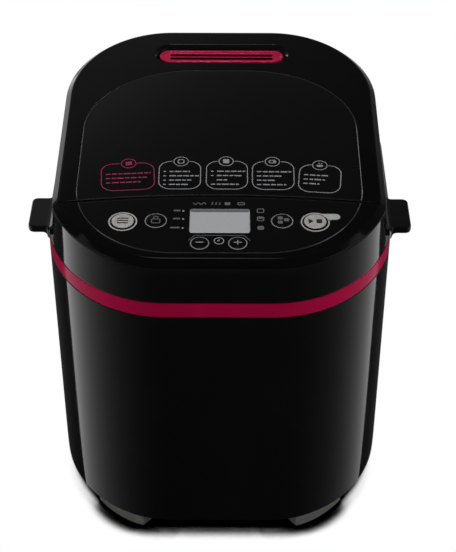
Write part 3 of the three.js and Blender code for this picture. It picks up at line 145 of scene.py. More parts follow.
def rounded(half_x: float, half_y: float, corner: float, steps: int = 8, centre: Pair = (0.0, 0.0)) -> Array:
    """A rectangle with round corners, anticlockwise from the right end of its front side.

    Formula: four quarter circles about the corner centres, with straight lines between them.

    Args:
        half_x: Half its size on x.
        half_y: Half its size on y.
        corner: Radius of its corners.
        steps: Number of steps in each corner.
        centre: Its middle.

    Returns:
        The loop's points.
    """
    angle = np.linspace(-np.pi / 2, 0, steps + 1)
    arc = columns([np.cos(angle), np.sin(angle)]) * corner
    reach = np.array([half_x - corner, half_y - corner])
    parts = []
    for turn, signs in enumerate([(1, -1), (1, 1), (-1, 1), (-1, -1)]):
        c, s = round(math.cos(turn * math.pi / 2)), round(math.sin(turn * math.pi / 2))
        parts.append(arc @ np.array([[c, s], [-s, c]]) + reach * signs)
    return np.vstack(parts) + centre


def loft_faces(rings: int, points: int, joined: bool) -> Array:
    """Four-cornered faces between neighbouring rings of equal size.

    Args:
        rings: Number of rings.
        points: Number of points in each ring.
        joined: True if the last ring also meets the first.

    Returns:
        A row for each face: point i and i + 1 of a ring, then i + 1 and i of the next.
    """
    ring = np.arange(rings if joined else rings - 1)[:, None]
    point = np.arange(points)[None, :]
    following = (point + 1) % points
    upper = (ring + 1) % rings
    corners = [ring * points + point, ring * points + following, upper * points + following,
               upper * points + point]
    return np.stack([np.broadcast_to(c, (len(ring), points)) for c in corners], axis=-1).reshape(-1, 4)


@dataclass
class Form:
    """A mesh in the making: points, and faces as lists of point numbers with a material number each."""

    points: list[Array] = field(default_factory=list)
    faces: list[list[int]] = field(default_factory=list)
    slots: list[int] = field(default_factory=list)
    count: int = 0

    @classmethod
    def skin(cls, rings: Iterable[Array], fill: Fill = Fill.CAPS) -> "Form":
        """A form that holds one skin.

        Args:
            rings: Rings of the same number of points.
            fill: How the ends are closed.

        Returns:
            The form.
        """
        form = cls()
        form.loft(rings, fill)
        return form

    def add(self, points: Array, faces: Sequence[Sequence[int]], slot: int = 0) -> None:
        """Adds points with the faces that use them.

        Args:
            points: The points.
            faces: Each face's corners, as numbers of these points.
            slot: Material number of the faces.
        """
        self.points.append(np.asarray(points, float))
        self.faces.extend([[int(i) + self.count for i in face] for face in faces])
        self.slots.extend([slot] * len(faces))
        self.count += len(points)

    def loft(self, rings: Iterable[Array], fill: Fill = Fill.CAPS, slot: int = 0) -> None:
        """Adds a skin through rings that run anticlockwise and go upwards on the outside.

        Args:
            rings: Rings of the same number of points.
            fill: How the ends are closed.
            slot: Material number of the skin.
        """
        rings = list(rings)
        size = len(rings[0])
        faces = loft_faces(len(rings), size, fill is Fill.JOIN).tolist()
        if fill is Fill.CAPS:
            faces.append(list(range(size))[::-1])
            faces.append(list(range((len(rings) - 1) * size, len(rings) * size)))
        self.add(np.vstack(rings), faces, slot)

    def block(self, loop: Array, low: float, high: float) -> None:
        """Adds an upright block with a flat loop as its outline."""
        self.loft([at_height(loop, low), at_height(loop, high)])

    def tube(self, path: Array, radius: float, sides: int) -> None:
        """Adds a round tube along an open path.

        Formula: a circle square to the path at each of its points, whose first axis is the cross product
        of z and the path's direction.

        Args:
            path: Points of the path.
            radius: Radius of the tube.
            sides: Number of points round it.
        """
        ahead = np.gradient(path, axis=0)
        ahead = unit(ahead)
        first = unit(np.cross([0.0, 0.0, 1.0], ahead))
        second = np.cross(ahead, first)
        turn = circle(sides)[None, :, :, None]
        ring = turn[:, :, 0] * first[:, None, :] + turn[:, :, 1] * second[:, None, :]
        self.loft(path[:, None, :] + radius * ring)

    def turn(self, profile: Sequence[Pair], centre: Sequence[float], sides: int, slot: int = 0) -> None:
        """Adds a solid of revolution about an upright axis.

        Formula: each profile point (radius, height) becomes a circle of that radius at that height.

        Args:
            profile: Points in millimetres, up the outside. Away from the axis at both ends, it makes a ring.
            centre: Place of the profile's origin.
            sides: Number of points round it.
            slot: Material number.
        """
        rings = [at_height(circle(sides, max(r * MM, 1e-6)), z * MM) + np.asarray(centre) for r, z in profile]
        is_ring = profile[0][0] > 0 and profile[-1][0] > 0
        self.loft(rings, Fill.JOIN if is_ring else Fill.CAPS, slot)


def piece(name: str, form: Form, materials: Sequence[Material], body: str, slot: str,
          replaces: Sequence[str] = (), sharp: float = 32.0, cutters: Form | None = None) -> None:
    """Makes a mesh object from a form, smooths it, and lets it ride on its body.

    Args:
        name: Name of the piece.
        form: Its points and faces.
        materials: Its materials, by number.
        body: CAD body that it moves with.
        slot: The record's material slot; not used.
        replaces: CAD nodes that it stands for.
        sharp: Degrees from which an edge stays sharp.
        cutters: Closed shapes to be taken away from it.
    """
    thing = raw(name, form, materials)
    if cutters is not None:
        carve(thing, raw(name + "_cut", cutters, materials))
    thing.data.shade_smooth()
    thing.data.set_sharp_from_angle(angle=math.radians(sharp))
    weighted = thing.modifiers.new("face_weight", "WEIGHTED_NORMAL")
    weighted.keep_sharp = True
    weighted.weight = 60
    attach(thing, body)
    if replaces:
        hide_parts(*replaces)
    log.info("%s: %d faces on %s", name, len(thing.data.polygons), body)


def raw(name: str, form: Form, materials: Sequence[Material]) -> Thing:
    """Makes a closed mesh object whose faces point outwards.

    Args:
        name: Name of the object.
        form: Its points and faces.
        materials: Its materials.

    Returns:
        The object, in the scene.
    """
    mesh = bpy.data.meshes.new(name)
    mesh.from_pydata(np.vstack(form.points).tolist(), [], form.faces)
    for material in materials:
        mesh.materials.append(material)
    mesh.polygons.foreach_set("material_index", np.array(form.slots, np.int32))
    work = bmesh.new()
    work.from_mesh(mesh)
    bmesh.ops.remove_doubles(work, verts=work.verts, dist=WELD)
    bmesh.ops.dissolve_degenerate(work, edges=work.edges, dist=SLIVER)
    bmesh.ops.recalc_face_normals(work, faces=work.faces)
    work.to_mesh(mesh)
    work.free()
    return link(name, mesh)


def link(name: str, data: bpy.types.ID) -> Thing:
    """Makes an object of a mesh, lamp or camera, and puts it into the scene."""
    thing = bpy.data.objects.new(name, data)
    bpy.context.scene.collection.objects.link(thing)
    return thing


def carve(thing: Thing, cutter: Thing) -> None:
    """Takes the cutter's shape away from a piece, and removes the cutter.

    Args:
        thing: The piece.
        cutter: Object that holds the closed shapes.
    """
    cut = thing.modifiers.new("cut", "BOOLEAN")
    cut.operation = "DIFFERENCE"
    cut.solver = "EXACT"
    cut.use_self = True
    cut.object = cutter
    graph = bpy.context.evaluated_depsgraph_get()
    carved = bpy.data.meshes.new_from_object(thing.evaluated_get(graph))
    thing.modifiers.clear()
    thing.data = carved
    bpy.data.objects.remove(cutter)


# -------- outlines of the machine


@dataclass(frozen=True)
class TopPlane:
    """The sloping plane that lid and console share."""

    tilt: float = math.radians(5)
    height: float = 287.66 * MM
    seam_y: float = -75.9 * MM
    seam_radius: float = 863 * MM

    def lift(self, loop: Array, depth: float | Array = 0.0) -> Array:
        """A flat loop laid on the plane, or parallel to it at a depth below."""
        return at_height(loop, self.height + loop[:, 1] * math.tan(self.tilt) + depth)

    def seam(self, x: Array, margin: float = 0.0) -> Array:
        """Y of the seam's arc at x, let out towards the back by a margin."""
        radius = self.seam_radius + margin
        return self.seam_y - self.seam_radius + np.sqrt(radius**2 - x**2)

    def stand(self, points: Array, place: Pair) -> Array:
        """Moves points given about the origin to a place on the plane, square to it.

        Formula: a turn about x by the plane's tilt, then a move to the place and up to the plane there.

        Args:
            points: Points whose third number is the height over the plane.
            place: Place on x and y.

        Returns:
            The moved points.
        """
        c, s = math.cos(self.tilt), math.sin(self.tilt)
        turned = points @ np.array([[1, 0, 0], [0, c, s], [0, -s, c]])
        return turned + [*place, self.height + place[1] * math.tan(self.tilt)]

    def stack(self, loops: Iterable[tuple[Array, float]], place: Pair) -> list[Array]:
        """Flat loops at heights in millimetres, stood on the plane at a place."""
        return [self.stand(at_height(loop, z * MM), place) for loop, z in loops]


PLANE = TopPlane()


@dataclass(frozen=True)
class Outline:
    """An outline with straight sides and elliptical corners, seen from above.

    Corners are (reach in x, reach in y). The front corners belong to full_width, and are cut short where
    they pass half_width. In every method, inset is how far the outline is let in, and margin how far the
    seam is let out towards the back.
    """

    half_width: float
    front: float
    back: float
    front_corner: Pair
    back_corner: Pair
    full_width: float
    arc: int = 40
    side: int = 10
    blend: float = 3 * MM

    def front_arc(self, inset: float, angles: Array) -> Array:
        """The right front corner.

        Formula: a quarter ellipse, whose x is softly held under the half width.

        Args:
            inset: How far it is let in.
            angles: Places on it, where 0 faces the side and a right angle the front.

        Returns:
            Its points at these angles.
        """
        centre_x = self.full_width - self.front_corner[0]
        centre_y = self.front + self.front_corner[1]
        x = centre_x + (self.front_corner[0] - inset) * np.cos(angles)
        y = centre_y - (self.front_corner[1] - inset) * np.sin(angles)
        if self.full_width > self.half_width:
            x = soft_min(x, self.half_width - inset, self.blend)
        return columns([x, y])

    def back_half(self, inset: float) -> Array:
        """The right side and the rear corner.

        Args:
            inset: How far it is let in.

        Returns:
            Points from the end of the right front corner along the side and round to the middle of the back.
        """
        start = self.front + self.front_corner[1]
        end = self.back - self.back_corner[1]
        side_y = np.linspace(start, end, self.side, endpoint=False)[1:]
        side = columns([np.full(len(side_y), self.half_width - inset), side_y])
        angles = np.linspace(0, np.pi / 2, self.arc)
        x = self.half_width - self.back_corner[0] + (self.back_corner[0] - inset) * np.cos(angles)
        y = end + (self.back_corner[1] - inset) * np.sin(angles)
        straight_x = np.linspace(x[-1], 0, self.side // 2)[1:]
        straight = columns([straight_x, np.full(len(straight_x), self.back - inset)])
        return np.vstack([side, columns([x, y]), straight])

    def seam_angle(self, inset: float, margin: float) -> float:
        """Where the front corner meets the seam, found by halving an interval 60 times.

        Args:
            inset: How far the corner is let in.
            margin: How far the seam is let out.

        Returns:
            The angle on the corner.
        """
        low, high = 0.0, math.pi / 2
        for _ in range(60):
            middle = (low + high) / 2
            x, y = self.front_arc(inset, np.array([middle]))[0]
            if y > PLANE.seam(x, margin):
                low = middle
            else:
                high = middle
        return (low + high) / 2

    def ahead(self, inset: float, margin: float = 0.0) -> Array:
        """The open part before the seam.

        Args:
            inset: How far it is let in.
            margin: How far the seam is let out.

        Returns:
            Points from its left end round the front to its right end.
        """
        corner = self.front_arc(inset, np.linspace(math.pi / 2, self.seam_angle(inset, margin), self.arc))
        straight_x = np.linspace(0, corner[0, 0], self.side // 2, endpoint=False)
        straight = columns([straight_x, np.full(len(straight_x), self.front + inset)])
        right = np.vstack([straight, corner])
        return np.vstack([right[:0:-1] * [-1, 1], right])

    def behind(self, inset: float, margin: float = 0.0) -> Array:
        """The open part behind the seam.

        Args:
            inset: How far it is let in.
            margin: How far the seam is let out.

        Returns:
            Points from its right end round the back to its left end.
        """
        corner = self.front_arc(inset, np.linspace(self.seam_angle(inset, margin), 0, self.arc // 2))
        right = np.vstack([corner, self.back_half(inset)])
        return np.vstack([right, right[-2::-1] * [-1, 1]])

    def closed(self, part: Array, margin: float) -> Array:
        """An open part closed along the seam's arc."""
        x = np.linspace(part[-1, 0], part[0, 0], 60)[1:-1]
        return np.vstack([part, columns([x, PLANE.seam(x, margin)])])

    def whole(self, inset: float) -> Array:
        """The closed loop all round, with two points close together where the seam crosses each side."""
        return np.vstack([self.ahead(inset, -SPLIT), self.behind(inset, SPLIT)])


FRONT_CORNER, BACK_CORNER = (95.4 * MM, 112.6 * MM), (86 * MM, 94 * MM)
CASING = Outline(135 * MM, -153 * MM, 153 * MM, FRONT_CORNER, BACK_CORNER, 135 * MM)
TOP = Outline(127.8 * MM, -153 * MM, 152.2 * MM, FRONT_CORNER, BACK_CORNER, 135 * MM)
INLAY = Outline(109.3 * MM, -141.7 * MM, 89.4 * MM, (75.2 * MM, 75.9 * MM), (86.5 * MM, 80.5 * MM),
                109.3 * MM)


# -------- finishes


class Graph:
    """A material's node tree, with short ways to add and join nodes."""

    def __init__(self, name: str) -> None:
        """Starts an empty material with its output and one shader."""
        self.material = bpy.data.materials.new(name)
        self.material.use_nodes = True
        self.tree = self.material.node_tree
        self.tree.nodes.clear()
        self.output = self.tree.nodes.new("ShaderNodeOutputMaterial")
        self.shader = self.node("BsdfPrincipled")
        self.link(self.shader.outputs[0], self.output.inputs["Surface"])
        self.place = self.node("TexCoord").outputs["Object"]

    def node(self, kind: str, **settings: object) -> bpy.types.Node:
        """Adds a node and sets its plain properties.

        Args:
            kind: Blender's name of the node's type, less its ShaderNode.
            **settings: Properties and their values.

        Returns:
            The node.
        """
        node = self.tree.nodes.new("ShaderNode" + kind)
        for key, value in settings.items():
            setattr(node, key, value)
        return node

    def filled(self, kind: str, place: Socket | None = None, **values: float | Triple) -> bpy.types.Node:
        """Adds a texture or mapping node with its place linked and its inputs set.

        Args:
            kind: Blender's name of the node's type, less its ShaderNode.
            place: What it reads as its place, or nothing for Object coordinates.
            **values: Inputs' values, with underscores for spaces.

        Returns:
            The node.
        """
        node = self.node(kind)
        for key, value in values.items():
            node.inputs[key.replace("_", " ")].default_value = value
        self.link(place or self.place, node.inputs["Vector"])
        return node

    def link(self, source: Socket, target: Socket) -> None:
        """Joins two sockets."""
        self.tree.links.new(source, target)

    def stretched(self, scale: Triple) -> Socket:
        """Object coordinates stretched by a factor on each axis."""
        return self.filled("Mapping", Scale=scale).outputs[0]

    def noise(self, scale: float, detail: float = 3.0, place: Socket | None = None,
              distortion: float = 0.0) -> Socket:
        """Noise from 0 to 1 with a number of cells for each metre."""
        return self.filled("TexNoise", place, Scale=scale, Detail=detail,
                           Distortion=distortion).outputs["Fac"]

    def cells(self, scale: float) -> Socket:
        """Distance to the nearest of scattered points, with a number of cells for each metre."""
        return self.filled("TexVoronoi", Scale=scale).outputs["Distance"]

    def spread(self, value: Socket, low: float, high: float, start: float = 0.3, end: float = 0.7) -> Socket:
        """A value that runs from start to end, spread from low to high."""
        spread = self.node("MapRange")
        for socket, number in zip(("From Min", "From Max", "To Min", "To Max"), (start, end, low, high)):
            spread.inputs[socket].default_value = number
        self.link(value, spread.inputs["Value"])
        return spread.outputs["Result"]

    def mix(self, factor: Socket, first: Socket | Triple, second: Socket | Triple) -> Socket:
        """A mix of two colours.

        Args:
            factor: Share of the second colour.
            first: A colour, or a socket that gives one.
            second: The same.

        Returns:
            The mixed colour.
        """
        mix = self.node("Mix", data_type="RGBA")
        self.link(factor, mix.inputs["Factor"])
        for name, colour in (("A", first), ("B", second)):
            socket = next(s for s in mix.inputs if s.name == name and s.type == "RGBA")
            if isinstance(colour, Socket):
                self.link(colour, socket)
            else:
                socket.default_value = (*colour, 1.0)
        return next(s for s in mix.outputs if s.type == "RGBA")

    def edges(self, radius: float, flat: float, full_edge: float) -> Socket:
        """A value that rises to 1 near an edge.

        Formula: the dot product of the face's normal and the normal of the same face with rounded edges.

        Args:
            radius: How near to the edge it starts.
            flat: Product from which a face counts as flat.
            full_edge: Product below which the value is 1, where the edge colour of wear and painted highlight
                is fully on.

        Returns:
            The value.
        """
        rounded = self.node("Bevel", samples=4)
        rounded.inputs["Radius"].default_value = radius
        dot = self.node("VectorMath", operation="DOT_PRODUCT")
        self.link(rounded.outputs[0], dot.inputs[0])
        self.link(self.node("NewGeometry").outputs["Normal"], dot.inputs[1])
        return self.spread(dot.outputs["Value"], 1.0, 0.0, full_edge, flat)

    def bump(self, height: Socket, depth: float) -> None:
        """Lets a height map shape the shader's normal, on top of one set before.

        Args:
            height: The map.
            depth: How deep it goes, in metres.
        """
        bump = self.node("Bump")
        bump.inputs["Strength"].default_value = 1.0
        bump.inputs["Distance"].default_value = depth
        self.link(height, bump.inputs["Height"])
        before = self.shader.inputs["Normal"].links
        if before:
            self.link(before[0].from_socket, bump.inputs["Normal"])
        self.link(bump.outputs[0], self.shader.inputs["Normal"])

    def set(self, **values: Socket | Triple | float) -> None:
        """Sets shader sockets, named with underscores for spaces, to numbers, colours or sockets."""
        for key, value in values.items():
            socket = self.shader.inputs[key.replace("_", " ")]
            if isinstance(value, Socket):
                self.link(value, socket)
            else:
                socket.default_value = (*value, 1.0) if isinstance(value, tuple) else value

    def glow(self, strength: Socket) -> Socket:
        """Light of a strength, as a shader."""
        glow = self.node("Emission")
        self.link(strength, glow.inputs["Strength"])
        return glow.outputs[0]


@dataclass(frozen=True)
class Finish:
    """A finish with a name, a main colour, and a second colour that shows in places."""

    name: str
    colour: Triple
    other: Triple

    def material(self) -> Material:
        """Builds the material."""
        g = Graph(self.name)
        self.dress(g)
        return g.material

    def dress(self, g: Graph) -> None:
        """Adds the finish to an empty material."""
        raise NotImplementedError


@dataclass(frozen=True)
class Moulding(Finish):
    """Moulded plastic: faint ripple, uneven polish, and an edge colour near edges that is partly wear and
    partly painted highlight.
    """

    # edge: colour near edges, partly wear and partly painted highlight along rounded edges
    edge: Triple
    polish: Pair
    ior: float
    grain_depth: float = 0.0
    grain: float = 900.0
    ripple: float = 26.0
    ripple_depth: float = 0.04 * MM
    patches: float = 22.0
    smears: float = 60.0
    edge_wear_and_sheen: Triple = (0.3 * MM, 0.985, 0.86)

    def dress(self, g: Graph) -> None:
        """Mixes patches and the edge colour (wear and painted highlight) into the colour, and bumps ripple
        and grain.
        """
        patches = g.mix(g.spread(g.noise(self.patches), 0.0, 1.0), self.colour, self.other)
        g.set(Base_Color=g.mix(g.edges(*self.edge_wear_and_sheen), patches, self.edge), IOR=self.ior)
        g.set(Roughness=g.spread(g.noise(self.smears, 6.0, distortion=0.4), *self.polish))
        g.bump(g.noise(self.ripple, 2.0), self.ripple_depth)
        if self.grain_depth:
            g.bump(g.noise(self.grain * 1.6, 4.0), self.grain_depth)
            g.bump(g.cells(self.grain), self.grain_depth)


@dataclass(frozen=True)
class Metal(Finish):
    """Metal with lines from rolling, drawing or turning, and slight stains."""

    polish: Pair
    stretch: Triple = (40.0, 900.0, 900.0)
    stains: float = 35.0
    depth: float = 0.02 * MM

    def dress(self, g: Graph) -> None:
        """Lets stretched noise shape polish and bumps, and mixes stains into the colour."""
        lines = g.noise(1.0, 4.0, place=g.stretched(self.stretch))
        stains = g.spread(g.noise(self.stains, 5.0, distortion=0.8), 0.0, 1.0, 0.45, 0.75)
        g.set(Metallic=1.0, Base_Color=g.mix(stains, self.colour, self.other))
        g.set(Roughness=g.spread(lines, *self.polish))
        g.bump(lines, self.depth)


@dataclass(frozen=True)
class Coating(Finish):
    """Speckled non-stick coating with fine scratches."""

    polish: Pair = (0.34, 0.5)
    specks: float = 700.0
    scratch: Triple = (60.0, 1400.0, 300.0)
    pores: float = 1300.0

    def dress(self, g: Graph) -> None:
        """Mixes specks into the colour, and bumps pores and scratches."""
        specks = g.spread(g.cells(self.specks), 1.0, 0.0, 0.12, 0.22)
        scratches = g.noise(1.0, 3.0, place=g.stretched(self.scratch))
        g.set(Base_Color=g.mix(specks, self.colour, self.other), Metallic=0.35, IOR=1.4)
        g.set(Roughness=g.spread(scratches, *self.polish))
        g.bump(g.noise(self.pores, 2.0), 0.05 * MM)
        g.bump(scratches, 0.01 * MM)


@dataclass(frozen=True)
class Grained(Finish):
    """A colour with flecks of the other one, uneven polish and a fine grain."""

    flecks: float
    fleck_detail: float
    fleck_range: Pair
    polish_cells: float
    polish: Pair
    ior: float
    grain: float
    grain_detail: float
    grain_depth: float
    metallic: float = 0.0

    def dress(self, g: Graph) -> None:
        """Mixes flecks into the colour, spreads the polish and bumps the grain."""
        flecks = g.spread(g.noise(self.flecks, self.fleck_detail), 0.0, 1.0, *self.fleck_range)
        g.set(Base_Color=g.mix(flecks, self.colour, self.other), Metallic=self.metallic, IOR=self.ior)
        g.set(Roughness=g.spread(g.noise(self.polish_cells), *self.polish))
        g.bump(g.noise(self.grain, self.grain_detail), self.grain_depth)


def satin_paint(name: str, colour: Triple, flake: Triple, polish: Pair = (0.32, 0.5)) -> Grained:
    """Satin paint with metal flakes, as on the large buttons."""
    return Grained(name, colour, flake, 900.0, 4.0, (0.4, 0.62), 800.0, polish, 1.35, 2200.0, 2.0,
                   0.02 * MM, 0.25)


def printing(name: str, ink: Triple, thin: Triple) -> Grained:
    """Screen-printed ink, thinner in places."""
    return Grained(name, ink, thin, 1500.0, 4.0, (0.4, 0.7), 500.0, (0.45, 0.65), 1.15, 3000.0, 2.0,
                   0.01 * MM)


def matt(name: str, colour: Triple, dust: Triple) -> Grained:
    """Rubber or ceramic with a fine grain, and flecks of dust."""
    return Grained(name, colour, dust, 140.0, 6.0, (0.5, 0.8), 300.0, (0.75, 0.92), 1.3, 1800.0, 4.0,
                   0.08 * MM)


@dataclass(frozen=True)
class Crystal(Finish):
    """A display cell at rest: pale grey behind glass, with a faint weave of dots."""

    dots: float = 1700.0
    smears: float = 120.0
    ripple: float = 60.0

    def dress(self, g: Graph) -> None:
        """Mixes the weave into the colour, and bumps a slow ripple."""
        weave = g.spread(g.cells(self.dots), 0.0, 1.0, 0.1, 0.7)
        g.set(Base_Color=g.mix(weave, self.colour, self.other), IOR=1.2)
        g.set(Roughness=g.spread(g.noise(self.smears, 5.0), 0.12, 0.2))
        g.bump(g.noise(self.ripple), 0.02 * MM)


@dataclass(frozen=True)
class Laminate(Finish):
    """Circuit board with tracks under its mask."""

    tracks: float = 160.0
    track_width: float = 0.08

    def dress(self, g: Graph) -> None:
        """Mixes tracks into the mask's colour, and bumps them."""
        tracks = g.filled("TexBrick", Scale=self.tracks, Mortar_Size=self.track_width).outputs["Fac"]
        g.set(Base_Color=g.mix(tracks, self.colour, self.other))
        g.set(Roughness=g.spread(g.noise(200.0), 0.3, 0.5), IOR=1.4)
        g.bump(tracks, 0.03 * MM)


def grey(level: float, blue: float | None = None) -> Triple:
    """A grey, or one with its own share of blue."""
    return (level, level, level if blue is None else blue)


def built(finish: Finish) -> Material:
    """A field whose value is a finish's material, made with its owner."""
    return field(default_factory=finish.material)


# Colour, patch colour and edge colour of the black mouldings; the edge colour is partly wear and partly
# painted highlight.
JET = (grey(0.0006, 0.0007), grey(0.001, 0.0011), grey(0.006, 0.0065))
# Edge colour of the crimson mouldings: partly wear, partly painted highlight.
CRIMSON_EDGE_WEAR_AND_SHEEN = (0.34, 0.01, 0.06)


@dataclass
class Paints:
    """All finishes of the machine, each built once."""

    black: Material = built(Moulding("gloss_black", *JET, (0.05, 0.09), 1.11))
    top_black: Material = built(Moulding("top_black", *JET, (0.08, 0.13), 1.08))
    # The inlay's pale edge colour grey(0.09) is a painted highlight: a bright outline along its bevel.
    inlay: Material = built(Moulding("inlay_black", grey(0.0006, 0.0008), grey(0.001, 0.0012), grey(0.09),
                                     (0.03, 0.055), 1.11))
    # The trim's lighter edge colour is partly painted highlight along its ridge.
    trim: Material = built(Moulding("trim_line", grey(0.004), grey(0.006), grey(0.02), (0.12, 0.2), 1.25))
    satin_black: Material = built(Moulding("satin_black", grey(0.012, 0.013), grey(0.018, 0.019), grey(0.03),
                                           (0.42, 0.6), 1.35, 0.03 * MM))
    crimson: Material = built(Moulding("crimson", (0.19, 0.0014, 0.025), (0.17, 0.0012, 0.022), CRIMSON_EDGE_WEAR_AND_SHEEN,
                                       (0.14, 0.22), 1.05))
    gloss_crimson: Material = built(Moulding("gloss_crimson", (0.25, 0.0022, 0.033), (0.22, 0.0018, 0.028),
                                             CRIMSON_EDGE_WEAR_AND_SHEEN, (0.06, 0.1), 1.13))
    # painted shade: near-black crimson for the walls of the vent's slots
    crimson_painted_shade: Material = built(Moulding("crimson_painted_shade", (0.03, 0.0004, 0.004), (0.024, 0.0003, 0.003),
                                            (0.05, 0.001, 0.008), (0.2, 0.3), 1.05))
    silver: Material = built(satin_paint("satin_silver", (0.165, 0.156, 0.147), (0.26, 0.247, 0.235)))
    ring: Material = built(satin_paint("ring_silver", grey(0.22, 0.213), grey(0.27, 0.262), (0.25, 0.35)))
    ink: Material = built(printing("pale_print", grey(0.17, 0.175), grey(0.12, 0.125)))
    dim_ink: Material = built(printing("dim_print", grey(0.07, 0.072), grey(0.05, 0.052)))
    red_ink: Material = built(printing("crimson_print", (0.20, 0.012, 0.05), (0.13, 0.008, 0.035)))
    dark_ink: Material = built(printing("dark_print", grey(0.006), (0.014, 0.013, 0.013)))
    crystal: Material = built(Crystal("display_cell", (0.25, 0.253, 0.257), (0.225, 0.228, 0.232)))
    # painted shadow: a darker display grey for the strip along the window's upper side
    crystal_shadow_paint: Material = built(Crystal("display_painted_shadow", grey(0.08, 0.085), grey(0.07, 0.075)))
    rubber: Material = built(matt("rubber", grey(0.045, 0.041), grey(0.075, 0.068)))
    steel: Material = built(Metal("steel", (0.42, 0.43, 0.44), grey(0.3), (0.24, 0.38)))
    sheet: Material = built(Metal("sheet_steel", (0.46, 0.47, 0.48), (0.36, 0.35, 0.33), (0.3, 0.44),
                                  (400.0, 400.0, 30.0)))
    aluminium: Material = built(Metal("aluminium", (0.60, 0.61, 0.62), grey(0.5), (0.28, 0.4),
                                      (30.0, 700.0, 700.0)))
    brass: Material = built(Metal("brass", (0.56, 0.40, 0.17), (0.4, 0.27, 0.11), (0.25, 0.4)))
    coating: Material = built(Coating("non_stick", grey(0.022, 0.024), grey(0.07, 0.072)))
    ceramic: Material = built(matt("ceramic", (0.68, 0.65, 0.58), (0.5, 0.46, 0.4)))
    board: Material = built(Laminate("circuit_board", (0.012, 0.09, 0.035), (0.02, 0.16, 0.06)))


# -------- shapes shared by the sub-assemblies


def cast(loop: Array, target: Array, centre: Array) -> Array:
    """For each point of a loop, the place on a target loop that lies the same way from the centre.

    Formula: the target's distance from the centre is read off at the angle of each point.

    Args:
        loop: Points that give the ways.
        target: Loop that is met.
        centre: Place from which the ways lead.

    Returns:
        One point on the target for each way.
    """
    away = target - centre
    angles = np.unwrap(np.arctan2(away[:, 1], away[:, 0]))
    order = np.argsort(np.mod(angles, 2 * np.pi))
    wanted = np.mod(np.arctan2(*(loop - centre).T[::-1]), 2 * np.pi)
    reach = np.interp(wanted, np.mod(angles, 2 * np.pi)[order], np.linalg.norm(away, axis=1)[order],
                      period=2 * np.pi)
    return centre + reach[:, None] * columns([np.cos(wanted), np.sin(wanted)])


def stadium(length: float, width: float, y: float, steps: int = 12) -> Array:
    """A slot outline with round ends about the middle of the machine."""
    return rounded(length / 2, width / 2, width / 2 - ROUND, steps, (0.0, y))


def box_mm(half_x: float, half_y: float, corner: float, steps: int = 3, centre: Pair = (0.0, 0.0),
           place: Pair = (0.0, 0.0)) -> Array:
    """A rounded rectangle in millimetres about a centre, moved to a place that is in metres."""
    return rounded(half_x * MM, half_y * MM, corner * MM, steps,
                   (centre[0] * MM + place[0], centre[1] * MM + place[1]))


def ellipse(place: Pair, radius: float, points: int = 40) -> Array:
    """A circle on the sloping plane with its radius in millimetres, seen from above."""
    return circle(points, radius * MM, math.cos(PLANE.tilt)) + place


def turned_about(points: Array, centre: Pair, degrees: float) -> Array:
    """Flat points turned about a centre."""
    c, s = math.cos(math.radians(degrees)), math.sin(math.radians(degrees))
    return (points - centre) @ np.array([[c, s], [-s, c]]) + centre


@dataclass
class Ink:
    """Strips and patches of print on the top plane, at one height over it."""

    form: Form
    height: float

    def ribbon(self, path: Array, width: float, closed: bool, slot: int = 0, ridge: float = 0.0) -> None:
        """Adds a flat strip along a path.

        Formula: each point gets four corners, half the width to both sides of the path, low and high.

        Args:
            path: Flat points of the middle line.
            width: Width of the strip, in millimetres.
            closed: True if its end meets its start.
            slot: Material number.
            ridge: Share of its width that its top lacks.
        """
        ahead = np.roll(path, -1, 0) - np.roll(path, 1, 0) if closed else np.gradient(path, axis=0)
        ahead = unit(ahead)
        aside = columns([ahead[:, 1], -ahead[:, 0]]) * (width * MM) / 2
        top = aside * (1 - ridge)
        corners = [PLANE.lift(path - aside, -BOND), PLANE.lift(path - top, self.height),
                   PLANE.lift(path + top, self.height), PLANE.lift(path + aside, -BOND)]
        self.form.loft(np.stack(corners, axis=1), Fill.JOIN if closed else Fill.CAPS, slot)

    def patch(self, outline: Array, slot: int = 0) -> None:
        """Adds a flat patch."""
        self.form.loft([PLANE.lift(outline, -BOND), PLANE.lift(outline, self.height)], Fill.CAPS, slot)


# -------- casing


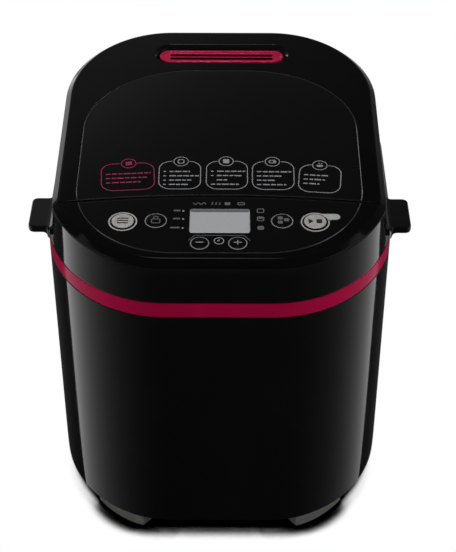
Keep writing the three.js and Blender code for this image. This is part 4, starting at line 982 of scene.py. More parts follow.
@dataclass
class Casing:
    """The fixed outside: lower shell, band, upper shell with its deck, and the side lugs."""

    paints: Paints
    wall: float = 2.8 * MM
    draft: float = 1.8 * MM
    upper_draft: float = 0.8 * MM
    upper_height: float = 31.0
    gap: float = 0.3 * MM
    console_edge: float = -5.4 * MM
    rim_drop: float = -20.4 * MM
    deck_drop: float = -22.5 * MM
    deck_thickness: float = 3 * MM
    opening: Triple = (91.5, 96.5, 47.5)
    slot_heights: Pair = (150 * MM, 195 * MM)
    slot_pitch: float = 10 * MM
    slot_half: float = 1.6 * MM
    cord_hole: float = 6.3 * MM
    lug_length: float = 40 * MM
    lug_y: float = -45 * MM
    lug_top: float = 244.6 * MM
    lug_thickness: float = 6 * MM
    lug_corner: float = 5 * MM
    lug_soft: float = 1.3 * MM
    shoulder: tuple[Pair, ...] = ((0.0, 0.5), (0.0, 1.6), (0.05, 2.3), (0.16, 3.1), (0.30, 4.2), (0.42, 5.8),
                                  (0.52, 8.0), (0.58, 10.5), (0.64, 14.0))

    def build(self) -> None:
        """Builds every piece of the casing."""
        self.lower()
        self.band()
        self.upper()
        for name, side in (("left", -1), ("right", 1)):
            self.lug(name, side)
            self.foot(f"front_{name}", side, -1, (63.0, 101.0))
            self.foot(f"back_{name}", side, 1, (76.0, 118.0))
        self.bulkhead()

    def shell(self, name: str, form: Form, node: str, **more: object) -> None:
        """Makes a black piece of the housing that stands for a node."""
        piece(name, form, [self.paints.black], "housing", "casing_plastic", [node] if node else [], **more)

    def lower(self) -> None:
        """The wall below the band, drawn in towards its foot, with a slightly rounded lower edge."""
        low, high = node_box("lower_shell")[0][2], node_box("accent_band")[0][2] - self.gap
        foot_edge, top_edge = 1.4 * MM, 0.5 * MM

        def ring(inset: float, z: float) -> Array:
            """The outline let in and drawn in for its height."""
            share = (high - z) / (high - low)
            return at_height(CASING.whole(inset) * (1 - self.draft * share / CASING.half_width), z)

        foot = [ring(run, low + foot_edge - rise) for run, rise in quarter(foot_edge, foot_edge)[::-1]]
        walls = [ring(0.0, z) for z in np.linspace(low, high, 8)[1:-1]]
        top = [ring(run, high - top_edge + rise) for run, rise in quarter(top_edge, top_edge, 3)]
        inside = [ring(self.wall, high), ring(self.wall, low)]
        self.shell("lower_casing", Form.skin([*foot, *walls, *top, *inside], Fill.JOIN), "lower_shell",
                   cutters=self.rear_openings())

    def rear_openings(self) -> Form:
        """Cutters for the air slots and the cord's hole in the rear wall."""
        cutters = Form()
        low, high = self.slot_heights
        outside, inside = CASING.back + 2 * MM, CASING.back - 6 * MM
        for i in range(-3, 4):
            shape = rounded(self.slot_half, (high - low) / 2, self.slot_half - 0.05 * MM, 4,
                            (0.0, (low + high) / 2)) + [i * self.slot_pitch, 0]
            cutters.loft([across(shape, outside), across(shape, inside)])
        low_corner, high_corner = node_box("cord_gland")
        hole = circle(32, self.cord_hole) + ((low_corner + high_corner) / 2)[[0, 2]]
        cutters.loft([across(hole, outside), across(hole, inside - 2 * MM)])
        return cutters

    def band(self) -> None:
        """The crimson band, flush with the walls, with softened edges."""
        low, high = (c[2] for c in node_box("accent_band"))
        soft, depth = 0.6 * MM, 2.4 * MM
        edge = quarter(soft, soft, 4)
        lower = [at_height(CASING.whole(run), low + soft - rise) for run, rise in edge[::-1]]
        upper = [at_height(CASING.whole(run), high - soft + rise) for run, rise in edge]
        inside = [at_height(CASING.whole(depth), z) for z in (high, low)]
        piece("crimson_band", Form.skin([*lower, *upper, *inside], Fill.JOIN), [self.paints.crimson],
              "housing", "accent_plastic", ["accent_band"])

    def upper_ring(self, front_inset: float, share: float, inset: float, heights: Pair, sloping: bool = True
                   ) -> Array:
        """A ring of the upper casing, whose parts before and behind the seam have their own heights.

        Args:
            front_inset: How far the part before the seam is let in beyond the inset.
            share: Share of the lid's outline, against the casing's, in the part behind it.
            inset: How far the whole ring is let in.
            heights: Heights of the two parts, over the ground or over the top plane.
            sloping: True if the heights are over the top plane.

        Returns:
            The ring's points.
        """
        parts = (CASING.ahead(front_inset + inset, -SPLIT),
                 (1 - share) * CASING.behind(inset, SPLIT) + share * TOP.behind(self.upper_draft + inset,
                                                                                SPLIT))
        lay = PLANE.lift if sloping else at_height
        return np.vstack([lay(part, height) for part, height in zip(parts, heights)])

    def upper(self) -> None:
        """The wall above the band.

        Before the seam it rises to the console's edge. Behind it, it comes in through a hollow shoulder to
        the neck under the lid. The rings go on over the rim, across the deck and back below it.
        """
        bottom = node_box("accent_band")[1][2] + self.gap
        draft, rim = self.upper_draft, (self.console_edge, self.rim_drop)
        deck_low = self.deck_drop - self.deck_thickness
        rings = [self.upper_ring(0.0, 0, inset, (bottom + rise,) * 2, False)
                 for inset, rise in ((0.5 * MM, 0.0), (0.15 * MM, 0.15 * MM))]
        rings += [self.upper_ring(draft * rise / self.upper_height, share, 0.0, (bottom + rise * MM,) * 2,
                                  False) for share, rise in self.shoulder]
        lip = ((-0.02, 0.97, 0.0, 0.4, 0.6), (0.0, 1.0, 0.15, 0.1, 0.15), (0.0, 1.0, 0.5, 0.0, 0.0))
        rings += [self.upper_ring(draft + more * MM, share, inset * MM,
                                  (rim[0] - front * MM, rim[1] - rear * MM))
                  for more, share, inset, front, rear in lip]
        rings += [self.upper_ring(draft, 1.0, self.wall, heights) for heights in (rim, (self.deck_drop,) * 2)]
        hole = cast(rings[-1][:, :2], box_mm(*self.opening, 48, place=CHAMBER), np.array(CHAMBER))
        rings += [PLANE.lift(hole, self.deck_drop), PLANE.lift(hole, deck_low),
                  self.upper_ring(draft, 1.0, self.wall, (deck_low,) * 2),
                  self.upper_ring(0.0, 1.0, self.wall, (bottom,) * 2, False)]
        self.shell("upper_casing", Form.skin(rings, Fill.JOIN), "upper_shell")

    def lug(self, name: str, side: int) -> None:
        """A side lug that flares into the wall.

        Formula: upright round-cornered sections along x, which shrink by a quarter circle towards the
        tip and grow by a hollow one towards the wall, more above than below.

        Args:
            name: Side of the machine, as in the node's name.
            side: -1 for left, 1 for right.
        """
        tip = node_box(f"side_lug_{name}")[0 if side < 0 else 1][0] * side
        end = tip - self.lug_corner + self.lug_corner * np.sin(np.linspace(0.05, 1, 12) * np.pi / 2)
        rings = []
        for x in np.concatenate([np.linspace(127.2, 136, 14) * MM, np.linspace(137, 144, 6) * MM, end]):
            up, down, out = (fall(max(x - wall * MM, 0.0), radius * MM)
                             for wall, radius in ((128.2, 7.5), (134, 4), (132.5, 4)))
            thinner = fall(tip - x, self.lug_soft)
            high = self.lug_top + up - thinner
            low = self.lug_top - self.lug_thickness - down + thinner
            section = rounded(self.lug_length / 2 + out - fall(tip - x, self.lug_corner), (high - low) / 2,
                              min(self.lug_soft + up * 0.4, (high - low) / 2 - ROUND), 6,
                              (self.lug_y, (high + low) / 2))
            rings.append(along(section, side * x)[::side])
        self.shell(f"lug_{name}", Form.skin(rings), f"side_lug_{name}", sharp=50)

    def foot(self, name: str, side: int, end: int, reach: Pair) -> None:
        """A rubber foot under a corner, flush with the wall.

        Formula: the wall's outline and the same outline let in, each read off at even steps on x.

        Args:
            name: Corner of the machine, as in the node's name.
            side: -1 for left, 1 for right.
            end: -1 for front, 1 for back.
            reach: Inner and outer end on x, in millimetres.
        """
        high = node_box(f"foot_{name}")[1][2]
        scale = 1 - self.draft / CASING.half_width
        points, step_in = 24, -7.0
        taper = 6 * MM * np.linspace(0, 1, points) ** 2

        def strip(outer: float, inner: float, trim: float) -> Array:
            """The foot's outline between two insets, cut short at both ends."""
            lines = []
            for inset, shift in ((outer, 0.0), (inner, step_in)):
                loop = CASING.whole(inset * MM) * scale * [side, end]
                loop = loop[(loop > 0).all(axis=1)]
                loop = loop[np.argsort(loop[:, 0])]
                x = np.linspace(reach[0] + shift + trim, reach[1] + shift - trim, points) * MM
                lines.append(columns([x, np.interp(x, *loop.T) - taper]) * [side, end])
            return np.vstack([lines[0], lines[1][::-1]])

        steps = ((0.9, 10.1, 0.6, 0.0), (0.4, 10.6, 0.1, 0.4 * MM), (0.3, 11, 0.0, 1.0 * MM),
                 (0.3, 11, 0.0, high))
        piece(f"pad_{name}", Form.skin(at_height(strip(*row[:3]), row[3]) for row in steps),
              [self.paints.rubber], "housing", "rubber", [f"foot_{name}"], sharp=50)

    def bulkhead(self) -> None:
        """The upright wall below the seam, between the console's underside and the deck."""
        x = np.linspace(-122, 122, 60) * MM
        front, back = (columns([x, PLANE.seam(x, margin * MM)]) for margin in (-3.4, -1.4))
        loop = np.vstack([front, back[::-1]])
        self.shell("console_bulkhead", Form.skin(PLANE.lift(loop, z) for z in (self.deck_drop, -3.4 * MM)),
                   "")


# -------- what console and lid share


class Side(Enum):
    """On which side of the seam a piece lies, as the sign of its margin to the seam."""

    CONSOLE = -1
    LID = 1


@dataclass
class Topped:
    """A piece of the top: rounded edge, flat chamfer, and a pocket with a flush inlay.

    Steps are (inset, depth, distance from the seam), in metres.
    """

    paints: Paints
    side: Side
    edge_inset: float = 0.8 * MM
    chamfer_run: float = 5.6 * MM
    chamfer_drop: float = 5.1 * MM
    seam_gap: float = 0.4 * MM
    rim: float = 1.0 * MM
    pocket: tuple[Pair, ...] = ((0.3, 0.0), (0.1, -0.05), (0.0, -0.3), (0.0, -1.3))
    sheet: tuple[Pair, ...] = ((0.35, -1.0), (0.35, -0.42), (0.43, -0.22), (0.62, -0.12), (1.0, -0.1))

    def part(self, outline: Outline, inset: float, away: float) -> Array:
        """This side's open part of an outline, let in, at a distance from the middle of the seam."""
        cut = outline.ahead if self.side is Side.CONSOLE else outline.behind
        return cut(inset, self.side.value * away)

    def loop(self, outline: Outline, inset: float, away: float) -> Array:
        """The same part, closed along the seam."""
        return outline.closed(self.part(outline, inset, away), self.side.value * away)

    def cover_rings(self, below: Sequence[Triple]) -> list[Array]:
        """Rings of the cover, from below over its edge and chamfer down into the pocket.

        Args:
            below: Steps below the edge.

        Returns:
            The rings.
        """
        inset, drop, gap = self.edge_inset, self.chamfer_drop, self.seam_gap
        run = inset + self.chamfer_run
        steps = [*below, (inset + 0.15 * MM, -drop + 0.95 * MM, gap),
                 (inset + 0.5 * MM, -drop + 1.35 * MM, gap),
                 (run - 1.5 * MM, -0.75 * MM, gap), (run - 0.9 * MM, -0.34 * MM, gap + 0.12 * MM),
                 (run - 0.2 * MM, -0.1 * MM, gap + 0.3 * MM), (run + 0.8 * MM, 0.0, gap + 0.6 * MM)]
        rings = [PLANE.lift(self.loop(TOP, i, away), depth) for i, depth, away in steps]
        return rings + [PLANE.lift(self.loop(INLAY, -grow * MM, gap + self.rim - grow * MM), depth * MM)
                        for grow, depth in self.pocket]

    def sheet_form(self) -> Form:
        """The inlay's sheet, with a bevel on which its material paints a highlight."""
        return Form.skin(PLANE.lift(self.loop(INLAY, i * MM, self.seam_gap + self.rim + i * MM),
                                    depth * MM) for i, depth in self.sheet)

    def trim(self, name: str, body: str) -> None:
        """Makes the thin polished line round the inlay."""
        form = Form()
        path = self.part(INLAY, 0.45 * MM, self.seam_gap + self.rim + 0.3 * MM)
        Ink(form, 0.2 * MM).ribbon(path, 0.9, False, ridge=0.9)
        piece(name, form, [self.paints.trim], body, "silver_plastic", sharp=60)


# -------- console


@dataclass
class Console(Topped):
    """The console: its cover, inlay, buttons, display and print."""

    side: Side = Side.CONSOLE
    flange: float = 1.3 * MM
    spare: float = 0.3 * MM
    print_height: float = -0.05 * MM
    sign_heights: Pair = (0.3, 0.95)
    guide: tuple[float, ...] = (10.8, 18.8, 2.9, 9.5)
    guide_hole: float = 9.75 * MM
    buttons: tuple[str, ...] = ("menu", "weight", "minus", "plus", "crust", "start_stop")

    def build(self) -> None:
        """Builds every piece of the console."""
        self.cover()
        self.inlay()
        for name in self.buttons:
            self.button(name)
        self.light_guide()
        self.display()
        self.print_marks()

    @staticmethod
    def place(node: str) -> Pair:
        """Middle of a node that lies on the console, as a place on the plane."""
        low, high = node_box(node)
        x, y, z = (low + high) / 2
        height = z - PLANE.height - y * math.tan(PLANE.tilt)
        return float(x), float(y + height * math.sin(PLANE.tilt) * math.cos(PLANE.tilt))

    @staticmethod
    def radius(node: str) -> float:
        """Radius of a button's flange, from its node."""
        low, high = node_box(node)
        return float(high[0] - low[0]) / 2

    def openings(self) -> Form:
        """Cutters square to the plane for the buttons and the display."""
        cutters = Form()
        outlines = [(circle(48, self.radius(f"button_{name}") - self.flange + self.spare), f"button_{name}")
                    for name in self.buttons]
        for outline, node in [*outlines, (self.window(self.spare), "lcd_lens")]:
            cutters.loft(PLANE.stack([(outline, z) for z in THROUGH], self.place(node)))
        return cutters

    @staticmethod
    def window(grow: float) -> Array:
        """Outline of the display window about its own middle, let out by a length."""
        low, high = node_box("lcd_lens")
        half_x = (high[0] - low[0]) / 2 + grow
        half_y = (high[1] - low[1]) / 2 / math.cos(PLANE.tilt) + grow
        return rounded(half_x - 0.7 * MM, half_y - 0.3 * MM, 1.8 * MM + grow, 6, (0.6 * MM, 0.0))

    def cover(self) -> None:
        """The console's cover: underside, edge, flat chamfer, top, and the pocket for the inlay."""
        inset, drop, gap = self.edge_inset, self.chamfer_drop, self.seam_gap
        below = [(inset + 2.8 * MM, -3.2 * MM, gap + 1.4 * MM), (inset + 2.8 * MM, -drop, gap + 1.4 * MM),
                 (inset + 0.5 * MM, -drop, gap), (inset + 0.12 * MM, -drop + 0.15 * MM, gap),
                 (inset, -drop + 0.5 * MM, gap)]
        piece("console_cover", Form.skin(self.cover_rings(below)), [self.paints.top_black], "housing",
              "casing_plastic", ["control_fascia"], sharp=40, cutters=self.openings())

    def inlay(self) -> None:
        """The glossy sheet let into the cover, with a hole for the light guide too."""
        cutters = self.openings()
        cutters.loft(PLANE.stack([(self.guide_outline(self.spare), z) for z in THROUGH],
                                 self.place("button_start_stop")))
        piece("console_inlay", self.sheet_form(), [self.paints.inlay], "housing", "casing_plastic",
              ["fascia_inlay"], sharp=40, cutters=cutters)
        self.trim("console_trim", "housing")

    def button(self, name: str) -> None:
        """A button: flange below the cover, stem, and a softly crowned cap.

        Args:
            name: The button's name.
        """
        node = f"button_{name}"
        large = name in ("menu", "start_stop")
        flange, cap = self.radius(node) / MM, (self.radius(node) - self.flange) / MM
        top = cap - 0.6

        def dome(reach: float, low: float) -> list[Pair]:
            """A crown from a reach to the axis."""
            return [(float(reach * (1 - s)), float(low + 0.25 * (1 - (1 - s) ** 2)))
                    for s in np.linspace(0, 1, 7)[1:]]

        edge = [(cap - run, 0.1 + rise) for run, rise in quarter(0.6, 0.5, 5)[1:]]
        form = Form()
        form.turn([(0.0, -4.9), (flange, -4.9), (flange, -3.5), (cap, -3.5), (cap, 0.1), *edge,
                   *dome(top, 0.6)], (0, 0, 0), 64)
        if large:
            disc = [(0.0, 0.3), (top - 0.05, 0.3), (top - 0.05, 0.62), (top - 0.13, 0.66)]
            form.turn([*disc, *dome(top - 0.13, 0.66)], (0, 0, 0), 64, slot=1)
        form.points = [PLANE.stand(points, self.place(node)) for points in form.points]
        piece(f"{name}_cap", form, [self.paints.black, self.paints.silver], f"{node}_body",
              "silver_plastic" if large else "dark_plastic", [node], sharp=50)

    def guide_outline(self, grow: float) -> Array:
        """Outline of the ring round the start button with its tail, about the button's middle.

        Formula: a circle whose right side leaves at the tail's two edges, and the tail's round end.

        Args:
            grow: How far it is let out.

        Returns:
            The outline's points.
        """
        radius, tail_end, low, high = (v * MM + s * grow for v, s in zip(self.guide, (1, 1, -1, 1)))
        angle = np.linspace(math.asin(high / radius), math.asin(low / radius) + 2 * math.pi, 60)
        half = (high - low) / 2
        turn = np.linspace(-np.pi / 2, np.pi / 2, 14)
        tail = columns([tail_end - half + half * np.cos(turn), (high + low) / 2 + half * np.sin(turn)])
        return np.vstack([radius * columns([np.cos(angle), np.sin(angle)]), tail])

    def light_guide(self) -> None:
        """The ring with its tail round the start button."""
        outer = self.guide_outline(0.0)
        inner = self.guide_hole * unit(outer)
        steps = ((outer, -1.0), (outer, -0.2), (outer * 0.992, 0.02), (outer * 0.985, 0.06),
                 (inner * 1.015, 0.06), (inner, -0.05), (inner, -1.0))
        piece("start_ring", Form.skin(PLANE.stack(steps, self.place("button_start_stop")), Fill.JOIN),
              [self.paints.ring], "housing", "clear_plastic", ["start_stop_light_guide"])

    def display(self) -> None:
        """The display window, with a strip of painted shadow along its upper side."""
        place, shadow_strip_half = self.place("lcd_lens"), 1.6 * MM
        outline, inner = self.window(0.0), self.window(-0.5 * MM)
        form = Form.skin(PLANE.stack(((outline, -1.0), (outline, -0.35), (inner, -0.2)), place))
        (left, _), (right, top) = inner.min(axis=0), inner.max(axis=0)
        # The strip is painted shadow: a darker grey laid along the upper side of the window.
        strip = rounded(float(right - left) / 2, shadow_strip_half, 0.7 * MM, 4,
                        (float(left + right) / 2, float(top) - shadow_strip_half))
        form.loft(PLANE.stack([(strip, z) for z in (-0.3, -0.16)], place), slot=1)
        piece("display_window", form, [self.paints.crystal, self.paints.crystal_shadow_paint], "housing",
              "clear_plastic", ["lcd_lens"])

    def print_marks(self) -> None:
        """Rings, signs and small marks printed on the inlay."""
        ink = Ink(Form(), self.print_height)
        rings = (("menu", 10.2, 64, 1.1, 0), ("weight", 7.9, 48, 0.7, 1), ("crust", 7.9, 48, 0.7, 1),
                 ("minus", 6.7, 48, 0.7, 1), ("plus", 6.7, 48, 0.7, 1))
        for name, radius, points, width, slot in rings:
            ink.ribbon(ellipse(self.place(f"button_{name}"), radius, points), width, True, slot)
        lens = self.place("lcd_lens")[1]
        right = -29.0
        for row, length in ((11.7, 5.2), (2.3, 5.2), (-8.1, 7.2)):
            ink.patch(box_mm(length / 2, 0.85, 0.6, 3, (right - length / 2, row), (0.0, lens)), 2)
            ink.patch(ellipse((-26.8 * MM, lens + (row - 0.5) * MM), 0.85, 16), 1)
            self.loaf(ink, (31.0, row), (0.0, lens), row < 5, row < -5)
        self.stages(ink, (0.0, lens + 19.9 * MM))
        clock = np.array([0.2 * MM, lens - 23.0 * MM])
        ink.ribbon(ellipse(tuple(clock), 3.5, 32), 0.7, True, 1)
        ink.ribbon(clock + np.array([[-1.4, 0.0], [0.0, 0.0], [0.0, 1.6]]) * MM, 0.6, False)
        bow = np.linspace(0, 1, 9)[:, None]
        left_arc = (np.array([-22.2, -22.6]) + bow * [1.2, 0] + np.sin(bow * np.pi / 2) * [3.5, 5.8]) * MM
        bracket = np.vstack([left_arc, left_arc[::-1] * [-1, 1] + [0.8 * MM, 0]]) + [0, lens]
        ink.ribbon(bracket, 0.5, False, 2)
        piece("console_print", ink.form, [self.paints.ring, self.paints.ink, self.paints.dim_ink],
              "housing", "clear_plastic", sharp=40)
        self.cap_signs()

    @staticmethod
    def loaf(ink: Ink, centre: Pair, place: Pair, top_filled: bool, all_filled: bool) -> None:
        """A small bread sign: a slice's outline, open, half filled or filled.

        Args:
            ink: Print to add to.
            centre: Its middle, in millimetres from the place.
            place: Place on the plane.
            top_filled: True if its upper half is filled.
            all_filled: True if all of it is.
        """
        size = 2.4
        outline = box_mm(size, size * 0.9, size * 0.45, 4, centre, place)
        if all_filled:
            ink.patch(outline, 2)
            return
        ink.ribbon(outline, 0.8, True, 2)
        if top_filled:
            upper = (centre[0], centre[1] + size * 0.35)
            ink.patch(box_mm(size * 0.75, size * 0.35, size * 0.2, 3, upper, place), 2)

    @staticmethod
    def stages(ink: Ink, place: Pair) -> None:
        """The row of stage signs over the display: stir, rise, bake and keep warm.

        Args:
            ink: Print to add to.
            place: Place of the row.
        """
        x = np.linspace(-19.5, -9.8, 30)
        ink.ribbon(columns([x, 1.1 * np.sin(x * 1.5)]) * MM + place, 0.8, False, 2)
        wisp = np.array([[-0.7, -1.6], [0.5, -0.4], [-0.4, 0.6], [0.6, 1.8]])
        for shift in (-5.2, -2.4, 0.4):
            ink.ribbon((wisp + [shift, 0]) * MM + place, 0.7, False, 2)
        ink.patch(box_mm(2.1, 1.7, 0.5, 3, (6.2, 0), place), 2)
        ink.ribbon(box_mm(2.5, 1.3, 1.0, 3, (16.5, 0), place), 0.9, True, 2)

    def cap_signs(self) -> None:
        """Signs on the buttons, which ride with them."""
        bar = box_mm(2.9, 0.42, 0.2)
        signs: dict[str, list[Array]] = {
            "menu": [box_mm(4.2, 0.55, 0.3, 3, (0, row)) for row in (-2.6, 0, 2.6)],
            "start_stop": [np.array([[-5.0, -2.6], [-0.8, 0.0], [-5.0, 2.6]]) * MM,
                           box_mm(2.1, 2.3, 0.3, 3, (3, 0))],
            "minus": [bar],
            "plus": [bar, box_mm(0.42, 2.5, 0.2)],
            "weight": [],
            "crust": [box_mm(1.9, 1.7, 0.8, 4, centre) for centre in ((-1.4, 2.4), (-1.4, -2.4), (3.3, 0.4))],
        }
        inks = {"menu": self.paints.dark_ink, "start_stop": self.paints.dark_ink,
                "weight": self.paints.dim_ink, "crust": self.paints.dim_ink}
        for name, outlines in signs.items():
            place = self.place(f"button_{name}")
            form = Form()
            for outline in outlines:
                form.loft(PLANE.stack([(outline, z) for z in self.sign_heights], place))
            if name == "weight":
                for half_x, half_y, corner, up in ((3.1, 2.2, 0.8, -1.5), (1.7, 1.4, 1.3, 2.3)):
                    Ink(form, self.sign_heights[1] * MM).ribbon(
                        box_mm(half_x, half_y, corner, 4, (0, up), place), 0.7, True)
            piece(f"{name}_sign", form, [inks.get(name, self.paints.ink)], f"button_{name}_body",
                  "silver_plastic")


# -------- lid


@dataclass(frozen=True)
class Panel:
    """One programme panel, in millimetres: middle, half sizes, turn in degrees, ink, and bar rows."""

    x: float
    y: float
    half_x: float
    half_y: float
    turn: float
    slot: int
    sign_x: float
    rows: tuple[Pair, ...]
    line: float = 0.65
    corner: float = 9.0
    sign_radius: float = 5.6
    sign_gap: float = 1.0
    first_row: float = 12.6
    pitch: float = 5.3
    indent: float = 3.4
    word_gap: float = 0.8
    words: tuple[float, ...] = (4.4, 3.0, 5.4, 3.8)

    def flat(self, points: Array) -> Array:
        """Points about the panel's middle, in millimetres, put in place on the lid."""
        middle = (self.x * MM, self.y * MM)
        return turned_about(points * MM + middle, middle, self.turn)

    def draw(self, ink: Ink, number: int) -> None:
        """Adds the frame with its gap, the ring, its sign and the bars.

        Args:
            ink: Print to add to.
            number: Place of the panel in its row, which gives its sign.
        """
        frame_line = rounded(self.half_x, self.half_y, self.corner, 10)
        x, y = frame_line.T
        split = next(i for i in range(len(x)) if x[i] < 0 < y[i] and y[i] > self.half_y - 0.01)
        away = self.sign_radius + self.sign_gap
        path = np.vstack([[[self.sign_x - away, self.half_y]], frame_line[split:], frame_line[:split],
                          [[self.sign_x + away, self.half_y]]])
        ink.ribbon(self.flat(path), self.line, False, self.slot)
        centre = np.array([self.sign_x, self.half_y])
        ink.ribbon(self.flat(circle(40, self.sign_radius) + centre), self.line, True, self.slot)
        self.sign(ink, number, centre)
        left = -self.half_x + self.indent
        for row, (short, long) in enumerate(self.rows):
            level = self.half_y - self.first_row - row * self.pitch
            if short:
                self.bar(ink, left, short, 0.6, level)
            start, end, word = left + 4.6, left + 4.6 + long, row + number
            while start < end - 1.0:
                length = min(self.words[word % len(self.words)], end - start)
                self.bar(ink, start, length, 0.65, level)
                start, word = start + length + self.word_gap, word + 1

    def bar(self, ink: Ink, left: float, length: float, half: float, y: float) -> None:
        """Adds a bar from its left end."""
        ink.patch(self.flat(rounded(length / 2, half, 0.4, 3, (left + length / 2, y))), self.slot)

    def sign(self, ink: Ink, number: int, centre: Array) -> None:
        """Adds the panel's sign: an ear of grain, a slice, a dotted loaf, a rolled dough or a bowl.

        Args:
            ink: Print to add to.
            number: Which of the signs.
            centre: Its middle.
        """
        steam = np.array([[-0.9, 1.4], [-0.4, 2.1], [-0.9, 2.9]])
        marks: tuple[list[tuple[Array, float, bool]], ...] = (
            [(rounded(0.75, 2.4, 0.7, 4, (x, 0.2 * x)), 0.0, True) for x in (-1.6, 0.2, 1.8)],
            [(rounded(2.2, 2.3, 1.2, 4), 0.8, True)],
            [(rounded(2.4, 2.6, 1.0, 4), 0.0, True)],
            [(rounded(2.6, 1.7, 1.5, 4), 0.8, True), (rounded(0.9, 2.2, 0.8, 3, (1.4, 0.3)), 0.0, True)],
            [(np.array([[-2.8, 0.4], [-1.9, -1.9], [1.9, -1.9], [2.8, 0.4]]), 0.0, True), (steam, 0.6, False),
             (steam + [1.8, 0.0], 0.6, False)],
        )
        for outline, width, closed in marks[number]:
            if width:
                ink.ribbon(self.flat(outline + centre), width, closed, self.slot)
            else:
                ink.patch(self.flat(outline + centre), self.slot)


@dataclass
class Lid(Topped):
    """The lid: shell, inlay with its programme panels, liner, and steam vent."""

    side: Side = Side.LID
    skirt: float = 19.1 * MM
    relief: float = 2.2 * MM
    vent_margin: float = 3.4 * MM
    vent_depth: float = 4.2 * MM
    print_height: float = -0.06 * MM
    notch_spare: float = 0.5 * MM
    hole: float = 3.2 * MM
    hole_pitch: float = 12 * MM
    screw_hole: float = 2 * MM
    cut_heights: Pair = (0.25, 0.31)
    panels_shown: tuple[Panel, ...] = (
        Panel(-70.6, -52.8, 20.3, 16.4, 4.0, 1, 1.0, ((3.5, 30), (3.5, 27), (3.5, 22))),
        Panel(-30.7, -50.6, 16.0, 17.0, 0.4, 0, 0.7, ((2, 16), (2, 23), (2, 17), (2, 16))),
        Panel(5.6, -50.4, 15.8, 17.2, 0.0, 0, -0.7, ((2, 22), (2, 20), (0, 8), (3.5, 17))),
        Panel(41.2, -50.8, 16.0, 17.2, -0.5, 0, -0.5, ((3.5, 22), (3.5, 16), (3.5, 9), (3.5, 18))),
        Panel(77.0, -54.6, 16.0, 16.6, -4.6, 0, -0.8, ((3.5, 14), (3.5, 12), (3.5, 8))),
    )

    def build(self) -> None:
        """Builds every piece of the lid."""
        self.shell()
        self.inlay()
        self.panels()
        self.liner()
        self.vent()

    @staticmethod
    def vent_size() -> Triple:
        """Length, width and place on y of the vent's insert."""
        low, high = node_box("vent_insert")
        return float(high[0] - low[0]), float(high[1] - low[1]), float(high[1] + low[1]) / 2

    def shell(self) -> None:
        """The lid's shell: hollow below, flat chamfer, top, pocket for the inlay, recess for the vent."""
        gap, inset, drop = self.seam_gap, self.edge_inset, self.chamfer_drop
        relief = gap + self.relief
        below = [(inset + 2.5 * MM, -8.0 * MM, relief + 2.5 * MM),
                 (inset + 2.5 * MM, -self.skirt, relief + 2.5 * MM),
                 (inset + 0.5 * MM, -self.skirt, relief + 0.4 * MM), (inset, -self.skirt + 0.5 * MM, relief),
                 (inset, -12.0 * MM, relief), (inset, -drop - 0.6 * MM, relief - 1.4 * MM),
                 (inset, -drop + 0.45 * MM, gap)]
        piece("lid_cover", Form.skin(self.cover_rings(below)), [self.paints.top_black, self.paints.black],
              "lid", "casing_plastic", ["lid_shell"], sharp=40, cutters=self.openings())

    def openings(self) -> Form:
        """Cutters for the vent's recess, with its softened rim, and for the two hinge brackets."""
        cutters = Form()
        length, width, y = self.vent_size()
        margin = 2 * self.vent_margin
        steps = ((-3.4, -4.2), (-2.9, -4.0), (-2.6, -3.5), (-2.4, -2.6), (-1.9, -2.1), (0.4, -0.3),
                 (0.9, -0.03), (1.1, 4.0))
        cutters.loft([PLANE.lift(stadium(length + margin + 2 * g * MM, width + margin + 2 * g * MM, y),
                                 z * MM) for g, z in steps], slot=1)
        self.notches(cutters, 0.3 * MM)
        return cutters

    def notches(self, cutters: Form, over: float) -> None:
        """Adds cutters that clear the two hinge brackets.

        Args:
            cutters: Form to add to.
            over: How far they reach over the brackets.
        """
        behind = 160 * MM
        for side in ("left", "right"):
            low, high = node_box(f"hinge_bracket_{side}")
            left, right, front = low[0] - self.notch_spare, high[0] + self.notch_spare, low[1] - 2 * MM
            outline = np.array([[left, front], [right, front], [right, behind], [left, behind]])
            cutters.block(outline, self.cut_heights[0], float(high[2]) + over)

    def inlay(self) -> None:
        """The glossy sheet let into the lid."""
        piece("lid_sheet", self.sheet_form(), [self.paints.inlay], "lid", "casing_plastic", ["lid_inlay"],
              sharp=40)
        self.trim("lid_trim", "lid")

    def panels(self) -> None:
        """Five programme panels printed on the inlay: a frame, a round sign on its rear side, and bars."""
        ink = Ink(Form(), self.print_height)
        for number, panel in enumerate(self.panels_shown):
            panel.draw(ink, number)
        piece("programme_print", ink.form, [self.paints.ink, self.paints.red_ink], "lid", "silver_plastic",
              sharp=40)

    def liner(self) -> None:
        """The metal inside of the lid, with a shallow pressed field and a rolled edge."""
        inset, away = self.edge_inset + 2.8 * MM, self.seam_gap + self.relief + 2.8 * MM
        steps = ((24.0, -16.3), (22.5, -16.4), (20.5, -16.9), (19.0, -17.1), (4.0, -17.1), (1.5, -17.0),
                 (0.4, -16.7), (0.0, -16.2), (0.0, -15.6))
        form = Form.skin(PLANE.lift(self.loop(TOP, inset + g * MM, away + 0.7 * g * MM), z * MM) for g,
                         z in steps)
        cutters = Form()
        self.notches(cutters, 12 * MM)
        vent_y = self.vent_size()[2]
        holes = [(self.hole, (i * self.hole_pitch, vent_y - 20 * MM)) for i in range(-3, 4)]
        for side in ("left", "right"):
            low, high = node_box(f"liner_screw_{side}")
            holes.append((self.screw_hole, (float(low[0] + high[0]) / 2, float(low[1] + high[1]) / 2)))
        for radius, place in holes:
            cutters.block(rounded(radius, radius, radius - ROUND, 6, place), *self.cut_heights)
        piece("lid_lining", form, [self.paints.aluminium], "lid", "aluminium", ["lid_liner"], cutters=cutters)

